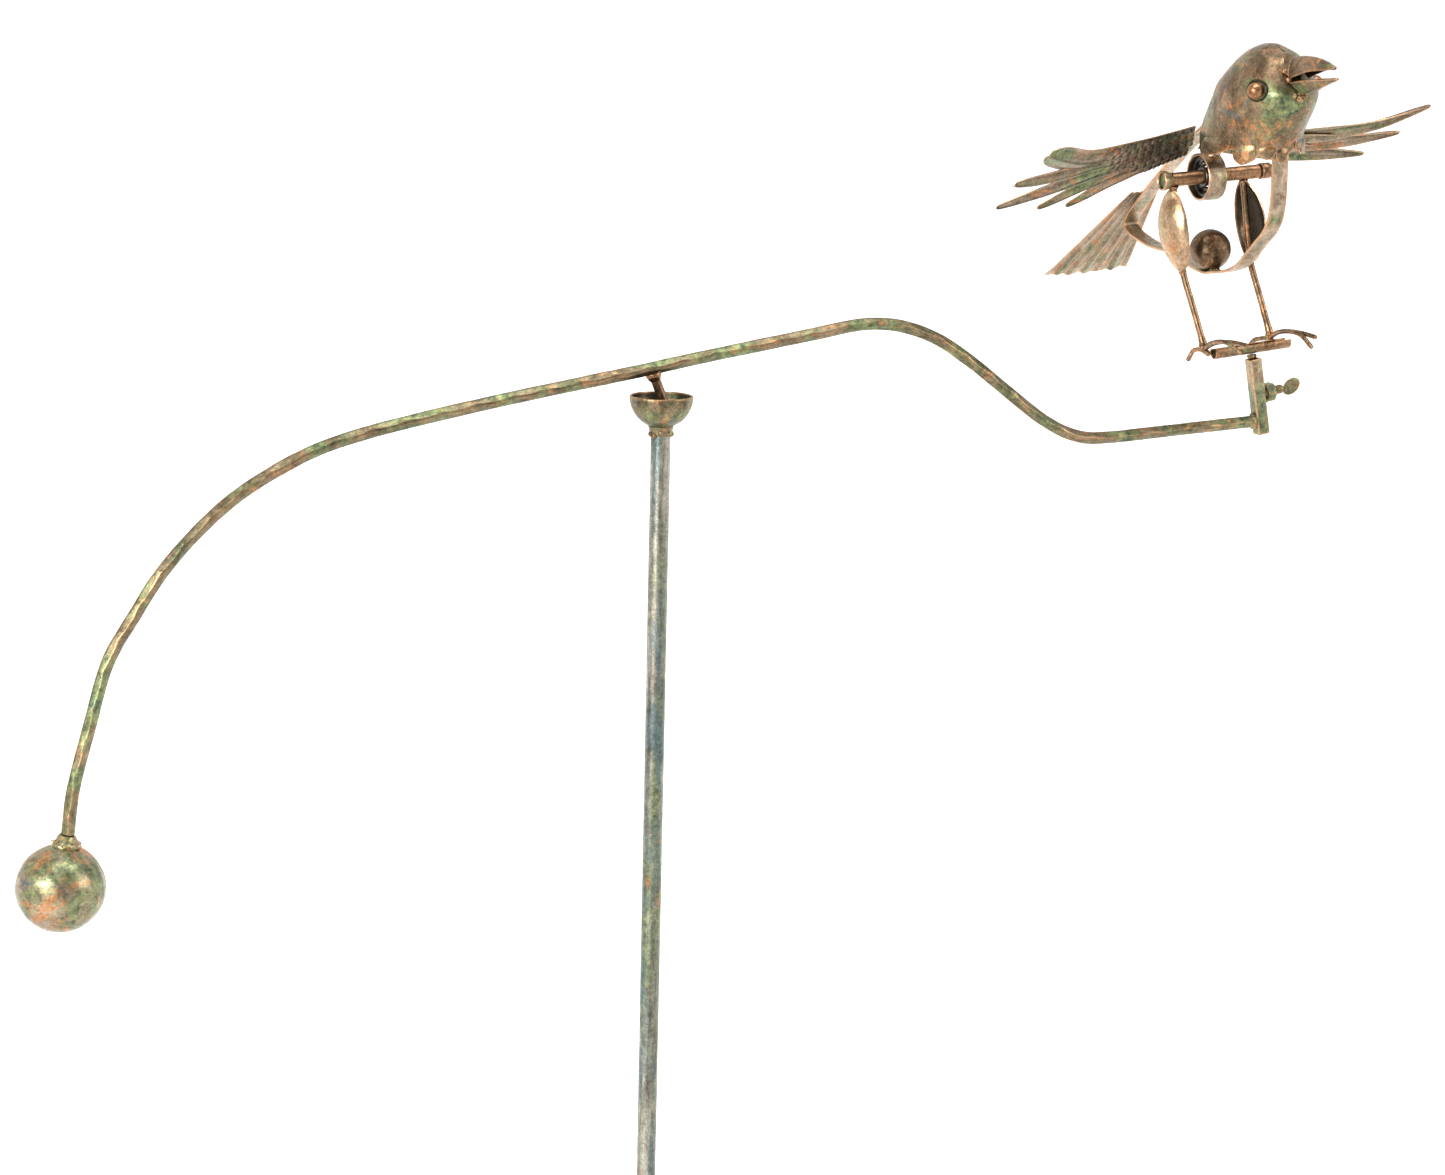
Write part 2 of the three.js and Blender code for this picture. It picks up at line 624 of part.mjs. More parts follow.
// Lower edge of each half of the head: angle round from the front in degrees, then height.
const HEAD_EDGE = {
  left: [
    [0, 16.5], [6, 17], [16, 20], [28, 22.5], [34, 19], [42, 16.5], [48, 15.5], [53, 17.5],
    [57, 25], [62, 26.5], [82, 23], [108, 20.5], [130, 22], [150, 24], [180, 24],
  ],
  right: [
    [0, 16.5], [3, 18], [8, 22], [20, 25.5], [32, 23], [44, 20], [51, 24.5], [62, 26],
    [90, 24], [115, 22], [150, 24], [180, 24],
  ],
};

function headHalf(name, side) {
  const shell = sheet(
    (s, t) => {
      const degrees = 180 * t;
      const angle = Math.PI * t;
      const [edge] = between(HEAD_EDGE[name], degrees);
      const up = edge + (100 - edge) * Math.sin((s * Math.PI) / 2);
      const [centre, length, width] = between(HEAD, up);
      return birdPoint(side * width * Math.sin(angle), centre + length * Math.cos(angle), up);
    },
    SHEET,
    9,
    22,
  );
  const half = toSolid(shell).trimByPlane([side, 0, 0], GAP / 2);
  return fromSolid(half);
}

function addHead(frame) {
  add(frame, "head_left", headHalf("left", -1), "head");
  add(frame, "head_right", headHalf("right", 1), "head");
  addEye(frame, "eye_left", [-26.4, 110.2, 69.5], [-0.862, 0.507, 0.05]);
  addEye(frame, "eye_right", [33, 92.1, 69.5], [0.983, 0.185, 0.05]);
  add(frame, "beak_upper", upperBeak(), "beak");
  add(frame, "beak_lower", lowerBeak(), "beak");
}

// A domed stud, its flat back just off the head.
function addEye(frame, name, place, out) {
  const cap = [[0, -1.9], [5.6, -1.9], [EYE_R, 0], [5.2, 3], [3, 5.2], [0, EYE_R]];
  const eye = add(frame, name, turned(cap, 18), "eye");
  eye.position.copy(birdPoint(...place));
  eye.quaternion.setFromUnitVectors(new THREE.Vector3(0, 0, 1), birdPoint(...out).normalize());
}

// Rows of a beak: forward at the middle, height of the ridge or keel, half width, then how far
// the sides fall or rise, and how far forward of the middle they stand.
const UPPER_BEAK = [
  [0, 117, 91, 8, 15, 8], [0.2, 130, 92, 8.7, 12.8, 4], [0.5, 146.5, 92, 7.5, 9.2, 4],
  [0.8, 162, 89.6, 4.5, 5.6, 3.5], [1, 172.5, 86.3, 1.2, 1.2, 0],
];
const LOWER_BEAK = [
  [0, 130, 65.8, 7.5, 8.6, -5.4], [0.3, 143, 68.6, 8, 7.8, -2], [0.7, 160, 73.2, 5, 4.4, 0],
  [1, 175, 77.5, 1.2, 0.9, 0],
];

function beak(rows, bend) {
  return sheet(
    (s, t) => {
      const over = 2 * t - 1;
      const [middle, ridge, half, fall, ahead] = between(rows, s);
      const forward = middle + ahead * over * over;
      const up = ridge + bend * fall * Math.pow(Math.abs(over), 1.4);
      return birdPoint(half * over, forward, up);
    },
    BEAK_SHEET,
    7,
    6,
  );
}

function upperBeak() {
  return beak(UPPER_BEAK, -1);
}

function lowerBeak() {
  return beak(LOWER_BEAK, 1);
}

function addTail(frame) {
  const root = birdPoint(0, -105.8, -20.1);
  const along = birdPoint(0, -106.7, -73.1).normalize();
  const normal = birdPoint(0, -73.1, 106.7).normalize();
  const fan = sheet(
    (s, t) => {
      const over = 2 * t - 1;
      const reach = s * (133 - 4 * over * over);
      const half = 12.3 + 25.6 * s;
      const fold = (Math.round(t * TAIL_PLEATS) % 2 ? 1 : -1) * (0.5 + 2.4 * s);
      return root.clone()
        .addScaledVector(along, reach)
        .addScaledVector(normal, fold + 1.2)
        .add(birdPoint(over * half, 0, 0));
    },
    TAIL_SHEET,
    6,
    TAIL_PLEATS,
  );
  add(frame, "tail", fan, "tail");
}

// One feather: a leaf of sheet folded along its shaft, which runs through [span, chord] points.
function feather({ shaft, width, blunt, lift }) {
  const line = new THREE.CatmullRomCurve3(shaft.map(([x, y]) => new THREE.Vector3(x, y, 0)));
  return sheet(
    (s, t) => {
      const over = 2 * t - 1;
      const point = line.getPointAt(s);
      const tangent = line.getTangentAt(s);
      const swell = Math.min(1, 0.55 + 0.8 * s);
      const closing = s > 0.75 ? Math.pow(Math.max(0, 1 - Math.pow((s - 0.75) / 0.25, blunt)), 0.5) : 1;
      const half = 0.7 + (width / 2) * swell * closing;
      const fold = 1.6 * (1 - Math.abs(over)) * (0.3 + 0.7 * closing);
      return new THREE.Vector3(
        point.x - tangent.y * over * half,
        point.y + tangent.x * over * half,
        lift - fold,
      );
    },
    SHEET,
    8,
    4,
  );
}

const NEAR_FEATHERS = [
  { shaft: [[2, 13], [60, 16], [110, 24], [158, 53]], width: 23, blunt: 4, lift: 2.4 },
  { shaft: [[1, 9], [90, 12], [140, 17], [177, 25]], width: 18, blunt: 3, lift: 1.2 },
  { shaft: [[0, 4], [90, 2], [140, 0], [183, 0]], width: 23, blunt: 1.6, lift: 0 },
  { shaft: [[2, -1], [60, -5], [100, -11], [136, -21]], width: 20, blunt: 1.8, lift: -1.2 },
  { shaft: [[3, -3], [40, -9], [75, -18], [105, -31]], width: 18, blunt: 1.8, lift: -2.4 },
];
const FAR_FEATHERS = [
  { shaft: [[2, 6], [80, -14], [140, -16], [181, -1]], width: 23, blunt: 2.4, lift: 1.2 },
  { shaft: [[1, 0], [70, -22], [120, -34], [166, -36]], width: 25, blunt: 2, lift: 0 },
  { shaft: [[0, -5], [60, -32], [100, -48], [144, -62]], width: 26, blunt: 2, lift: -1.2 },
];

// side -1 is the bird's left wing and +1 its right; tip is where the longest feather ends.
function wing(side, tip, feathers) {
  const root = birdPoint(side * 7.4, -22, 24);
  const span = tip.clone().sub(root).normalize();
  const chord = birdPoint(0, 0.8, 0.6);
  chord.addScaledVector(span, -chord.dot(span)).normalize();
  const face = span.clone().cross(chord);
  const blades = feathers.map((one) => toSolid(feather(one))).reduce((sum, one) => sum.add(one));
  const placed = fromSolid(blades).applyMatrix4(new THREE.Matrix4().makeBasis(span, chord, face));
  placed.translate(...root.toArray());
  const cut = toSolid(placed).trimByPlane([side, 0, 0], STRAP_WIDTH / 2 + GAP);
  return fromSolid(cut);
}

function addWings(frame) {
  add(frame, "wing_left", wing(-1, birdPoint(-185.5, 11, -6), NEAR_FEATHERS), "wing");
  add(frame, "wing_right", wing(1, birdPoint(185.5, 11, 39), FAR_FEATHERS), "wing");
}

function addBird(root) {
  const frame = group(AXLE.x, AXLE.y, AXLE.z, ROLL);
  root.add(frame);
  addBearing(frame);
  addBody(frame);
  addHead(frame);
  addTail(frame);
  addWings(frame);
}

const whirligig = new THREE.Group();
addStake(whirligig);
addNeedle(whirligig);
addArm(whirligig);
addClamp(whirligig);
addPerch(whirligig);
addFeet(whirligig);
addBird(whirligig);

export default whirligig;
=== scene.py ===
"""Whirligig: a balance arm on a stake, with a rocking sheet-metal bird."""
import math

import bpy
import numpy as np
from mathutils import Matrix, Vector, noise


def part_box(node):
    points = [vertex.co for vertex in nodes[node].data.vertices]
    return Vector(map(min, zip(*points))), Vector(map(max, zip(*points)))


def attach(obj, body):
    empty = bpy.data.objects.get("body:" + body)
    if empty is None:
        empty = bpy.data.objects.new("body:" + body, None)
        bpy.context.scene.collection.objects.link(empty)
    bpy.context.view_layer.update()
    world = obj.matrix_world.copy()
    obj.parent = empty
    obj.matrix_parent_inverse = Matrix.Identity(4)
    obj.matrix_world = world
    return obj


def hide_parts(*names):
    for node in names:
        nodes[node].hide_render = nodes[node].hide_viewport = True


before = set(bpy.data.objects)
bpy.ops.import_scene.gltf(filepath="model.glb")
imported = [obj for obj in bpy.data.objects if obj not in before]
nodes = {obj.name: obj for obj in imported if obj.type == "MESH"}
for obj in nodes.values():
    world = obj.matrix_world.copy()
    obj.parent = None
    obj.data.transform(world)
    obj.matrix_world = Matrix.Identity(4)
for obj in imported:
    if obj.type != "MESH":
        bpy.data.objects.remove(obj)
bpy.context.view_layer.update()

MM = 0.001  # the lengths below are in millimetres, and meshes are in metres
COPPER = (0.70, 0.37, 0.19)
# near-black, for painted shade in hollows and creases, and for dark seams
SHADE_AND_SOOT_BLACK = (0.012, 0.013, 0.009)


# Frames of the perch and the bird ---------------------------------------------------------------

def turned_about_y(x, y, z, degrees):
    return Matrix.Translation((x, y, z)) @ Matrix.Rotation(math.radians(degrees), 4, "Y")


WORLD = Matrix.Identity(4)
PERCH = turned_about_y(472, 0, 1236, -11)
BIRD = turned_about_y(442.8, 25, 1368.9, -5)


def bird(lateral, forward, up):
    """A point of the bird: across, forward and up from the middle of its axle."""
    return Vector((lateral, -forward, up))


# Small maths -------------------------------------------------------------------------------------

def smooth(x, low, high):
    t = min(1.0, max(0.0, (x - low) / (high - low)))
    return t * t * (3 - 2 * t)


def between(table, x):
    """Smooth values between the rows [x, y0, y1, ...] of a table."""
    xs = [row[0] for row in table]
    i = max(0, min(len(table) - 2, int(np.searchsorted(xs, x, side="right")) - 1))
    rows = [table[max(0, i - 1)], table[i], table[i + 1], table[min(len(table) - 1, i + 2)]]
    span = rows[2][0] - rows[1][0]
    t = min(1.0, max(0.0, (x - rows[1][0]) / span))
    values = []
    for k in range(1, len(table[0])):
        before = (rows[2][k] - rows[0][k]) / max(1e-6, rows[2][0] - rows[0][0]) * span
        after = (rows[3][k] - rows[1][k]) / max(1e-6, rows[3][0] - rows[1][0]) * span
        a = 2 * rows[1][k] - 2 * rows[2][k] + before + after
        b = -3 * rows[1][k] + 3 * rows[2][k] - 2 * before - after
        values.append(((a * t + b) * t + before) * t + rows[1][k])
    return values


def curve_through(points, steps):
    """Evenly spaced points on a smooth curve through the given ones."""
    samples = 24
    p = [Vector(q) for q in points]
    p = [2 * p[0] - p[1]] + p + [2 * p[-1] - p[-2]]
    dense = []
    for i in range(1, len(p) - 2):
        knots = [0.0]
        for a, b in ((p[i - 1], p[i]), (p[i], p[i + 1]), (p[i + 1], p[i + 2])):
            knots.append(knots[-1] + math.sqrt((b - a).length))
        m1 = (p[i] - p[i - 1]) / (knots[1] - knots[0]) - (p[i + 1] - p[i - 1]) / (knots[2] - knots[0])
        m1 = (m1 + (p[i + 1] - p[i]) / (knots[2] - knots[1])) * (knots[2] - knots[1])
        m2 = (p[i + 1] - p[i]) / (knots[2] - knots[1]) - (p[i + 2] - p[i]) / (knots[3] - knots[1])
        m2 = (m2 + (p[i + 2] - p[i + 1]) / (knots[3] - knots[2])) * (knots[2] - knots[1])
        for k in range(samples):
            t = k / samples
            h = (2 * t**3 - 3 * t**2 + 1, t**3 - 2 * t**2 + t, -2 * t**3 + 3 * t**2, t**3 - t**2)
            dense.append(h[0] * p[i] + h[1] * m1 + h[2] * p[i + 1] + h[3] * m2)
    dense.append(p[-2])
    along = np.cumsum([0] + [(b - a).length for a, b in zip(dense, dense[1:])])
    xyz = np.array([list(q) for q in dense])
    want = np.linspace(0, along[-1], steps + 1)
    return [Vector([np.interp(w, along, xyz[:, k]) for k in range(3)]) for w in want]


def unit_vector(polar, angle):
    """Unit vector at an angle from the Z axis and an angle round it."""
    return Vector((math.sin(polar) * math.cos(angle), math.sin(polar) * math.sin(angle), math.cos(polar)))


def around(count, start=0.0):
    """Evenly spaced angles of a full turn."""
    return [2 * math.pi * k / count + start for k in range(count)]


def sphere(radius, steps):
    """Rows [radius, z] of a sphere's profile."""
    angles = [math.pi * i / steps for i in range(steps + 1)]
    return [[radius * math.sin(a), -radius * math.cos(a)] for a in angles]


def lumps(point, size, amount, seed=0.0):
    """Smooth random offset at a point: lumps of that size and height."""
    return amount * noise.noise(Vector(point) / size + Vector((seed, 1.7 * seed, -seed)))


# Materials ---------------------------------------------------------------------------------------

class Nodes:
    """Builds a node tree."""

    def __init__(self, tree):
        self.tree = tree

    def add(self, kind, **settings):
        node = self.tree.nodes.new(kind)
        for key, value in settings.items():
            setattr(node, key, value)
        return node

    def link(self, output, socket):
        if isinstance(output, (int, float, tuple)):
            socket.default_value = output
        else:
            self.tree.links.new(output, socket)

    def ramp(self, factor, stops):
        node = self.add("ShaderNodeValToRGB")
        ramp = node.color_ramp
        while len(ramp.elements) < len(stops):
            ramp.elements.new(0.5)
        for element, (position, colour) in zip(ramp.elements, stops):
            element.position = position
            element.color = (*colour, 1) if isinstance(colour, tuple) else (colour, colour, colour, 1)
        self.link(factor, node.inputs["Fac"])
        return node.outputs["Color"]

    def mix(self, factor, a, b, blend="MIX"):
        node = self.add("ShaderNodeMix", data_type="RGBA", blend_type=blend)
        self.link(factor, node.inputs["Factor"])
        for value, socket in ((a, node.inputs[6]), (b, node.inputs[7])):
            self.link((*value, 1) if isinstance(value, tuple) else value, socket)
        return node.outputs[2]

    def maths(self, operation, a, b):
        node = self.add("ShaderNodeMath", operation=operation, use_clamp=True)
        self.link(a, node.inputs[0])
        self.link(b, node.inputs[1])
        return node.outputs[0]

    def bump(self, height, strength, distance, normal=None):
        node = self.add("ShaderNodeBump")
        node.inputs["Strength"].default_value = strength
        node.inputs["Distance"].default_value = distance
        self.link(height, node.inputs["Height"])
        if normal:
            self.link(normal, node.inputs["Normal"])
        return node.outputs["Normal"]


class Material(Nodes):
    """Builds one material's node tree, around its own shader."""

    def __init__(self, name):
        self.material = bpy.data.materials.new(name)
        self.material.use_nodes = True
        super().__init__(self.material.node_tree)
        self.shader = self.tree.nodes["Principled BSDF"]
        self.place = self.add("ShaderNodeTexCoord").outputs["Object"]

    def stretched(self, scale):
        node = self.add("ShaderNodeMapping")
        node.inputs["Scale"].default_value = scale
        self.link(self.place, node.inputs["Vector"])
        return node.outputs["Vector"]

    def noise(self, scale, detail=4.0, rough=0.55, warp=0.0, vector=None):
        node = self.add("ShaderNodeTexNoise")
        node.inputs["Scale"].default_value = scale
        node.inputs["Detail"].default_value = detail
        node.inputs["Roughness"].default_value = rough
        node.inputs["Distortion"].default_value = warp
        self.link(vector or self.place, node.inputs["Vector"])
        return node.outputs["Fac"]


def patina(name, base, green=0.5, copper=0.35, blue=0.3, size=1.0, streak=(1, 1, 1), rough=0.42, edge=0.9):
    """Torch-coloured, verdigris-washed steel. base is (dark, light); green, copper and blue say how much
    of each shows, size scales the patches, and streak draws them out along an axis."""
    n = Material(name)
    drawn = n.stretched(tuple(v / size for v in streak))
    soft = n.noise(30, 5, 0.6, 0.7, drawn)
    body = n.ramp(n.noise(70, 7, 0.7, 1.0, drawn), [(0.34, base[0]), (0.66, base[1])])
    verdigris = n.ramp(n.noise(170, 5, 0.62), [(0.36, (0.052, 0.088, 0.045)), (0.66, (0.30, 0.35, 0.15))])
    green_mask = n.ramp(soft, [(0.66 - 0.32 * green, 0.0), (0.76 - 0.28 * green, 0.88)])
    colour = n.mix(green_mask, body, verdigris)
    bluish = n.noise(44, 5, 0.62, 1.3, drawn)
    blue_mask = n.ramp(bluish, [(0.68 - 0.24 * blue, 0.0), (0.78 - 0.24 * blue, 0.8)])
    colour = n.mix(blue_mask, colour, (0.13, 0.185, 0.19))
    coppery = n.noise(50, 8, 0.74, 1.8, drawn)
    copper_mask = n.ramp(coppery, [(0.66 - 0.23 * copper, 0.0), (0.74 - 0.23 * copper, 0.92)])
    colour = n.mix(copper_mask, colour, (0.55, 0.25, 0.11))
    fine = n.noise(520, 5, 0.75)
    colour = n.mix(1.0, colour, n.ramp(fine, [(0.36, 0.60), (0.64, 1.22)]), "MULTIPLY")
    grime = n.ramp(n.noise(95, 6, 0.7, 0.4), [(0.50, 0.0), (0.68, 0.55)])
    colour = n.mix(grime, colour, n.mix(1.0, colour, (0.42, 0.40, 0.36), "MULTIPLY"))
    worn = n.add("ShaderNodeAttribute", attribute_name="edge").outputs["Fac"]
    ragged = n.maths("MULTIPLY", worn, n.ramp(n.noise(300, 4, 0.7), [(0.32, 0.25), (0.6, 1.0)]))
    worn_mask = n.maths("MULTIPLY", ragged, edge)
    colour = n.mix(worn_mask, colour, COPPER)
    # Blackened where the mesh's darkening attribute says: mostly painted shade in hollows, creases, folds and
    # bores, and also dark seams.
    shade_and_soot = n.add("ShaderNodeAttribute", attribute_name="shade_and_soot").outputs["Fac"]
    colour = n.mix(shade_and_soot, colour, n.mix(0.04, SHADE_AND_SOOT_BLACK, colour))
    n.link(colour, n.shader.inputs["Base Color"])
    shine = n.ramp(n.noise(120, 5, 0.65, 0.5), [(0.3, rough - 0.12), (0.7, rough + 0.16)])
    n.link(n.mix(worn_mask, shine, (0.30, 0.30, 0.30)), n.shader.inputs["Roughness"])
    n.link(n.ramp(green_mask, [(0.0, 0.97), (1.0, 0.72)]), n.shader.inputs["Metallic"])
    dents = n.bump(n.noise(110, 4, 0.5), 0.30, 0.0009)
    n.link(n.bump(fine, 0.30, 0.00035, dents), n.shader.inputs["Normal"])
    return n.material


def plain_steel(name, colour, rough, lines):
    """Machined steel with fine turning marks and a little rust."""
    n = Material(name)
    marks = n.noise(lines, 3, 0.5, 0.0, n.stretched((6, 1, 1)))
    rust = n.ramp(n.noise(160, 6, 0.7), [(0.52, 0.0), (0.68, 0.7)])
    shade = n.ramp(marks, [(0.3, tuple(0.75 * c for c in colour)), (0.7, colour)])
    n.link(n.mix(rust, shade, (0.16, 0.08, 0.04)), n.shader.inputs["Base Color"])
    n.link(n.ramp(rust, [(0.0, rough), (1.0, 0.75)]), n.shader.inputs["Roughness"])
    n.shader.inputs["Metallic"].default_value = 1.0
    n.link(n.bump(marks, 0.2, 0.0002), n.shader.inputs["Normal"])
    return n.material


BRONZE = ((0.10, 0.058, 0.032), (0.40, 0.25, 0.14))
BROWN = ((0.105, 0.070, 0.040), (0.36, 0.245, 0.145))
OLIVE = ((0.10, 0.078, 0.044), (0.31, 0.25, 0.15))
SLATE = ((0.13, 0.12, 0.095), (0.60, 0.57, 0.47))
PALE = ((0.28, 0.20, 0.13), (0.60, 0.47, 0.33))
WARM = ((0.36, 0.22, 0.125), (0.68, 0.48, 0.30))
FADED = ((0.15, 0.11, 0.07), (0.47, 0.36, 0.25))
BRIGHT = ((0.34, 0.15, 0.07), (0.58, 0.29, 0.15))
UMBER = ((0.075, 0.046, 0.026), (0.29, 0.185, 0.105))
DULL = ((0.07, 0.045, 0.027), (0.27, 0.17, 0.10))
SHADE_BLACK = ((0.02, 0.018, 0.012), (0.06, 0.05, 0.03))
EVEN = (1, 1, 1)
LONG = (1, 1, 0.14)
materials = {
    "pole": patina("patina_pole", SLATE, 0.55, 0.28, 0.8, 1, LONG, 0.34),
    "cup": patina("patina_cup", OLIVE, 0.50, 0.45, 0.3, 0.8, EVEN, 0.38),
    "arm": patina("patina_arm", OLIVE, 0.62, 0.40, 0.25, 0.6, (0.5, 1, 0.5), 0.40, 0.7),
    "ball": patina("patina_ball", PALE, 0.72, 0.62, 0.42, 1.3, EVEN, 0.32),
    "clamp": patina("patina_clamp", PALE, 0.95, 0.42, 0.5, 0.8, (1, 1, 0.4), 0.38),
    "screw": patina("patina_screw", OLIVE, 0.6, 0.35, 0.4, 0.7, EVEN, 0.38),
    "leg": patina("patina_leg", BRONZE, 0.24, 0.62, 0.1, 0.7, (1, 1, 0.4), 0.32),
    "thigh": patina("patina_thigh", WARM, 0.26, 0.52, 0.0, 1, (1, 1, 0.5), 0.34, 0.7),
    "strap": patina("patina_strap", PALE, 0.52, 0.34, 0.3, 0.8, EVEN, 0.40, 0.8),
    "weight": patina("patina_weight", UMBER, 0.05, 0.35, 0.0, 1, EVEN, 0.36),
    "head": patina("patina_head", BROWN, 0.52, 0.58, 0.42, 1.2, (1, 1, 0.85), 0.34),
    "eye": patina("patina_eye", BRIGHT, 0.0, 0.5, 0.0, 1, EVEN, 0.28),
    "axle": patina("patina_axle", DULL, 0.25, 0.5, 0.1, 0.6, EVEN, 0.34),
    # near-black, for the painted shade round the eyes
    "painted_shade": patina("painted_shade_patina", SHADE_BLACK, 0.2, 0.1, 0.2, 1, EVEN, 0.5, 0.4),
    "beak": patina("patina_beak", BROWN, 0.5, 0.58, 0.2, 0.8, EVEN, 0.38),
    "wing": patina("patina_wing", FADED, 0.55, 0.46, 0.2, 0.9, (0.25, 1, 1), 0.38, 0.8),
    "tail": patina("patina_tail", PALE, 0.4, 0.55, 0.15, 0.9, (1, 0.2, 0.3), 0.42, 0.8),
    "steel": plain_steel("worn_steel", (0.40, 0.40, 0.39), 0.34, 500),
    # Darker steel for the parts inside the bearing's housing: painted shade.
    "bearing": plain_steel("shaded_steel", (0.13, 0.125, 0.11), 0.36, 300),
    "ballast": plain_steel("rough_iron", (0.22, 0.21, 0.2), 0.7, 200),
}


# Pieces ------------------------------------------------------------------------------------------

def piece(name, points, faces, slot, body, place=WORLD, replaces=(), edge=None, sharp=None, shade_and_soot=None):
    """A mesh piece from points in millimetres in the given frame, riding on a body."""
    mesh = bpy.data.meshes.new(name)
    mesh.from_pydata([place @ Vector(p) * MM for p in points], [], faces)
    # edge marks wear; the second attribute blackens, mostly as painted shade.
    for attribute, values in (("edge", edge), ("shade_and_soot", shade_and_soot)):
        values = np.zeros(len(points)) if values is None else np.asarray(values, float)
        mesh.attributes.new(attribute, "FLOAT", "POINT").data.foreach_set("value", values)
    mesh.shade_smooth()
    if sharp:
        mesh.set_sharp_from_angle(angle=math.radians(sharp))
    mesh.validate()
    mesh.update()
    made = bpy.data.objects.new(name, mesh)
    bpy.context.scene.collection.objects.link(made)
    made.data.materials.append(materials[slot])
    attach(made, body)
    if replaces:
        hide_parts(*replaces)


def grid_faces(rows, cols, wrap=False):
    faces = []
    for i in range(rows - 1):
        for j in range(cols if wrap else cols - 1):
            k = (j + 1) % cols
            faces.append((i * cols + j, i * cols + k, (i + 1) * cols + k, (i + 1) * cols + j))
    return faces


def sheet(name, surface, thick, rows, cols, slot, body, place, replaces=(), wear=2.2, marks=None,
          fade=None, shade_and_soot=(0, 0), shade_and_grime=None):
    """Bent sheet metal: surface(s, t) is its middle; its cut edges are worn bright over wear mm, less where
    fade(s, t) is low, and so is what marks(s, t) picks out. The last two arguments, a pair for its two faces
    and a function of (s, t), blacken its two sides: mostly painted shade in hollows, folds and creases, and
    also dark seams."""
    middle = np.array([[list(surface(i / rows, j / cols)) for j in range(cols + 1)] for i in range(rows + 1)])
    normal = np.cross(np.gradient(middle, axis=0), np.gradient(middle, axis=1))
    normal /= np.maximum(np.linalg.norm(normal, axis=2, keepdims=True), 1e-9)
    rim = np.concatenate([middle[0], middle[-1], middle[:, 0], middle[:, -1]])
    flat = middle.reshape(-1, 3)
    near = np.array([np.min(np.linalg.norm(rim - q, axis=1)) for q in flat])
    worn = np.clip(1 - near / wear, 0, 1) ** 1.3
    spots = [(i / rows, j / cols) for i in range(rows + 1) for j in range(cols + 1)]
    if fade:
        worn = worn * np.array([fade(*spot) for spot in spots])
    if marks:
        worn = np.maximum(worn, [marks(*spot) for spot in spots])
    count = (rows + 1) * (cols + 1)
    half = 0.5 * thick * (1 - 0.35 * (near < 0.25 * thick))[:, None]
    sides = normal.reshape(-1, 3) * half
    points = np.concatenate([flat + sides, flat - sides])
    faces = grid_faces(rows + 1, cols + 1)
    faces += [tuple(count + v for v in reversed(f)) for f in faces]
    loop = [j for j in range(cols + 1)] + [(i + 1) * (cols + 1) - 1 for i in range(1, rows + 1)]
    loop += [rows * (cols + 1) + j for j in range(cols - 1, -1, -1)]
    loop += [i * (cols + 1) for i in range(rows - 1, 0, -1)]
    faces += [(b, a, a + count, b + count) for a, b in zip(loop, loop[1:] + loop[:1])]
    extra = np.array([shade_and_grime(*spot) for spot in spots]) if shade_and_grime else 0
    black = np.concatenate([np.maximum(one, extra) * (1 - worn) for one in shade_and_soot])
    piece(name, points, faces, slot, body, place, replaces, np.tile(worn, 2), 50, black)


def sweep(name, path, radius, sides, slot, body, place=WORLD, replaces=(), edge=None, up=Vector((0, 1, 0))):
    """A round bar along a path; radius(i, angle) is its outline at point i. The ends are capped."""
    points, worn = [], []
    side = up.copy()
    for i, here in enumerate(path):
        along = (path[min(i + 1, len(path) - 1)] - path[max(i - 1, 0)]).normalized()
        side = (side - side.dot(along) * along).normalized()
        other = along.cross(side)
        for k in range(sides):
            angle = 2 * math.pi * k / sides
            r = radius(i, angle)
            points.append(here + r * (math.cos(angle) * side + math.sin(angle) * other))
            worn.append(edge(i, angle, r) if edge else 0)
    faces = grid_faces(len(path), sides, True)
    first, last = len(points), len(points) + 1
    points += [path[0], path[-1]]
    worn += [0.5, 0.5]
    base = (len(path) - 1) * sides
    faces += [(first, (k + 1) % sides, k) for k in range(sides)]
    faces += [(last, base + k, base + (k + 1) % sides) for k in range(sides)]
    piece(name, points, faces, slot, body, place, replaces, worn, 60)


def rounded_ends(path, i, length):
    """What is left of a bar's radius at a point, less within that length of its two ends."""
    reach = min((path[i] - path[0]).length, (path[-1] - path[i]).length)
    x = min(1.0, reach / length)
    return 1 - 0.5 * (1 - x) ** 2


def turned(name, profile, slot, body, place=WORLD, replaces=(), segments=64, rough=0.0, wear=0.0, seed=0.0,
           sharp=40):
    """Turned about the local Z axis from rows [radius, z, worn, shade], of which the last two can be left
    out; the shade column darkens hollows, grooves and bores as painted shade.
    The rows end on the axis or close on themselves."""
    points, worn, shade_and_grime = [], [], []
    for row in profile:
        for k in range(segments):
            angle = 2 * math.pi * k / segments
            r = max(row[0], 0.001)
            p = Vector((r * math.cos(angle), r * math.sin(angle), row[1]))
            p *= 1 + lumps(p, 5.0, rough, seed) / max(6.0, p.length)
            points.append(p)
            worn.append(row[2] if len(row) > 2 else wear)
            shade_and_grime.append(row[3] if len(row) > 3 else 0)
    faces = grid_faces(len(profile), segments, True)
    piece(name, points, faces, slot, body, place, replaces, worn, sharp, shade_and_grime)


def frame_from(origin, direction):
    """A frame whose Z axis points along direction."""
    turn = Vector((0, 0, 1)).rotation_difference(Vector(direction)).to_matrix().to_4x4()
    return Matrix.Translation(origin) @ turn


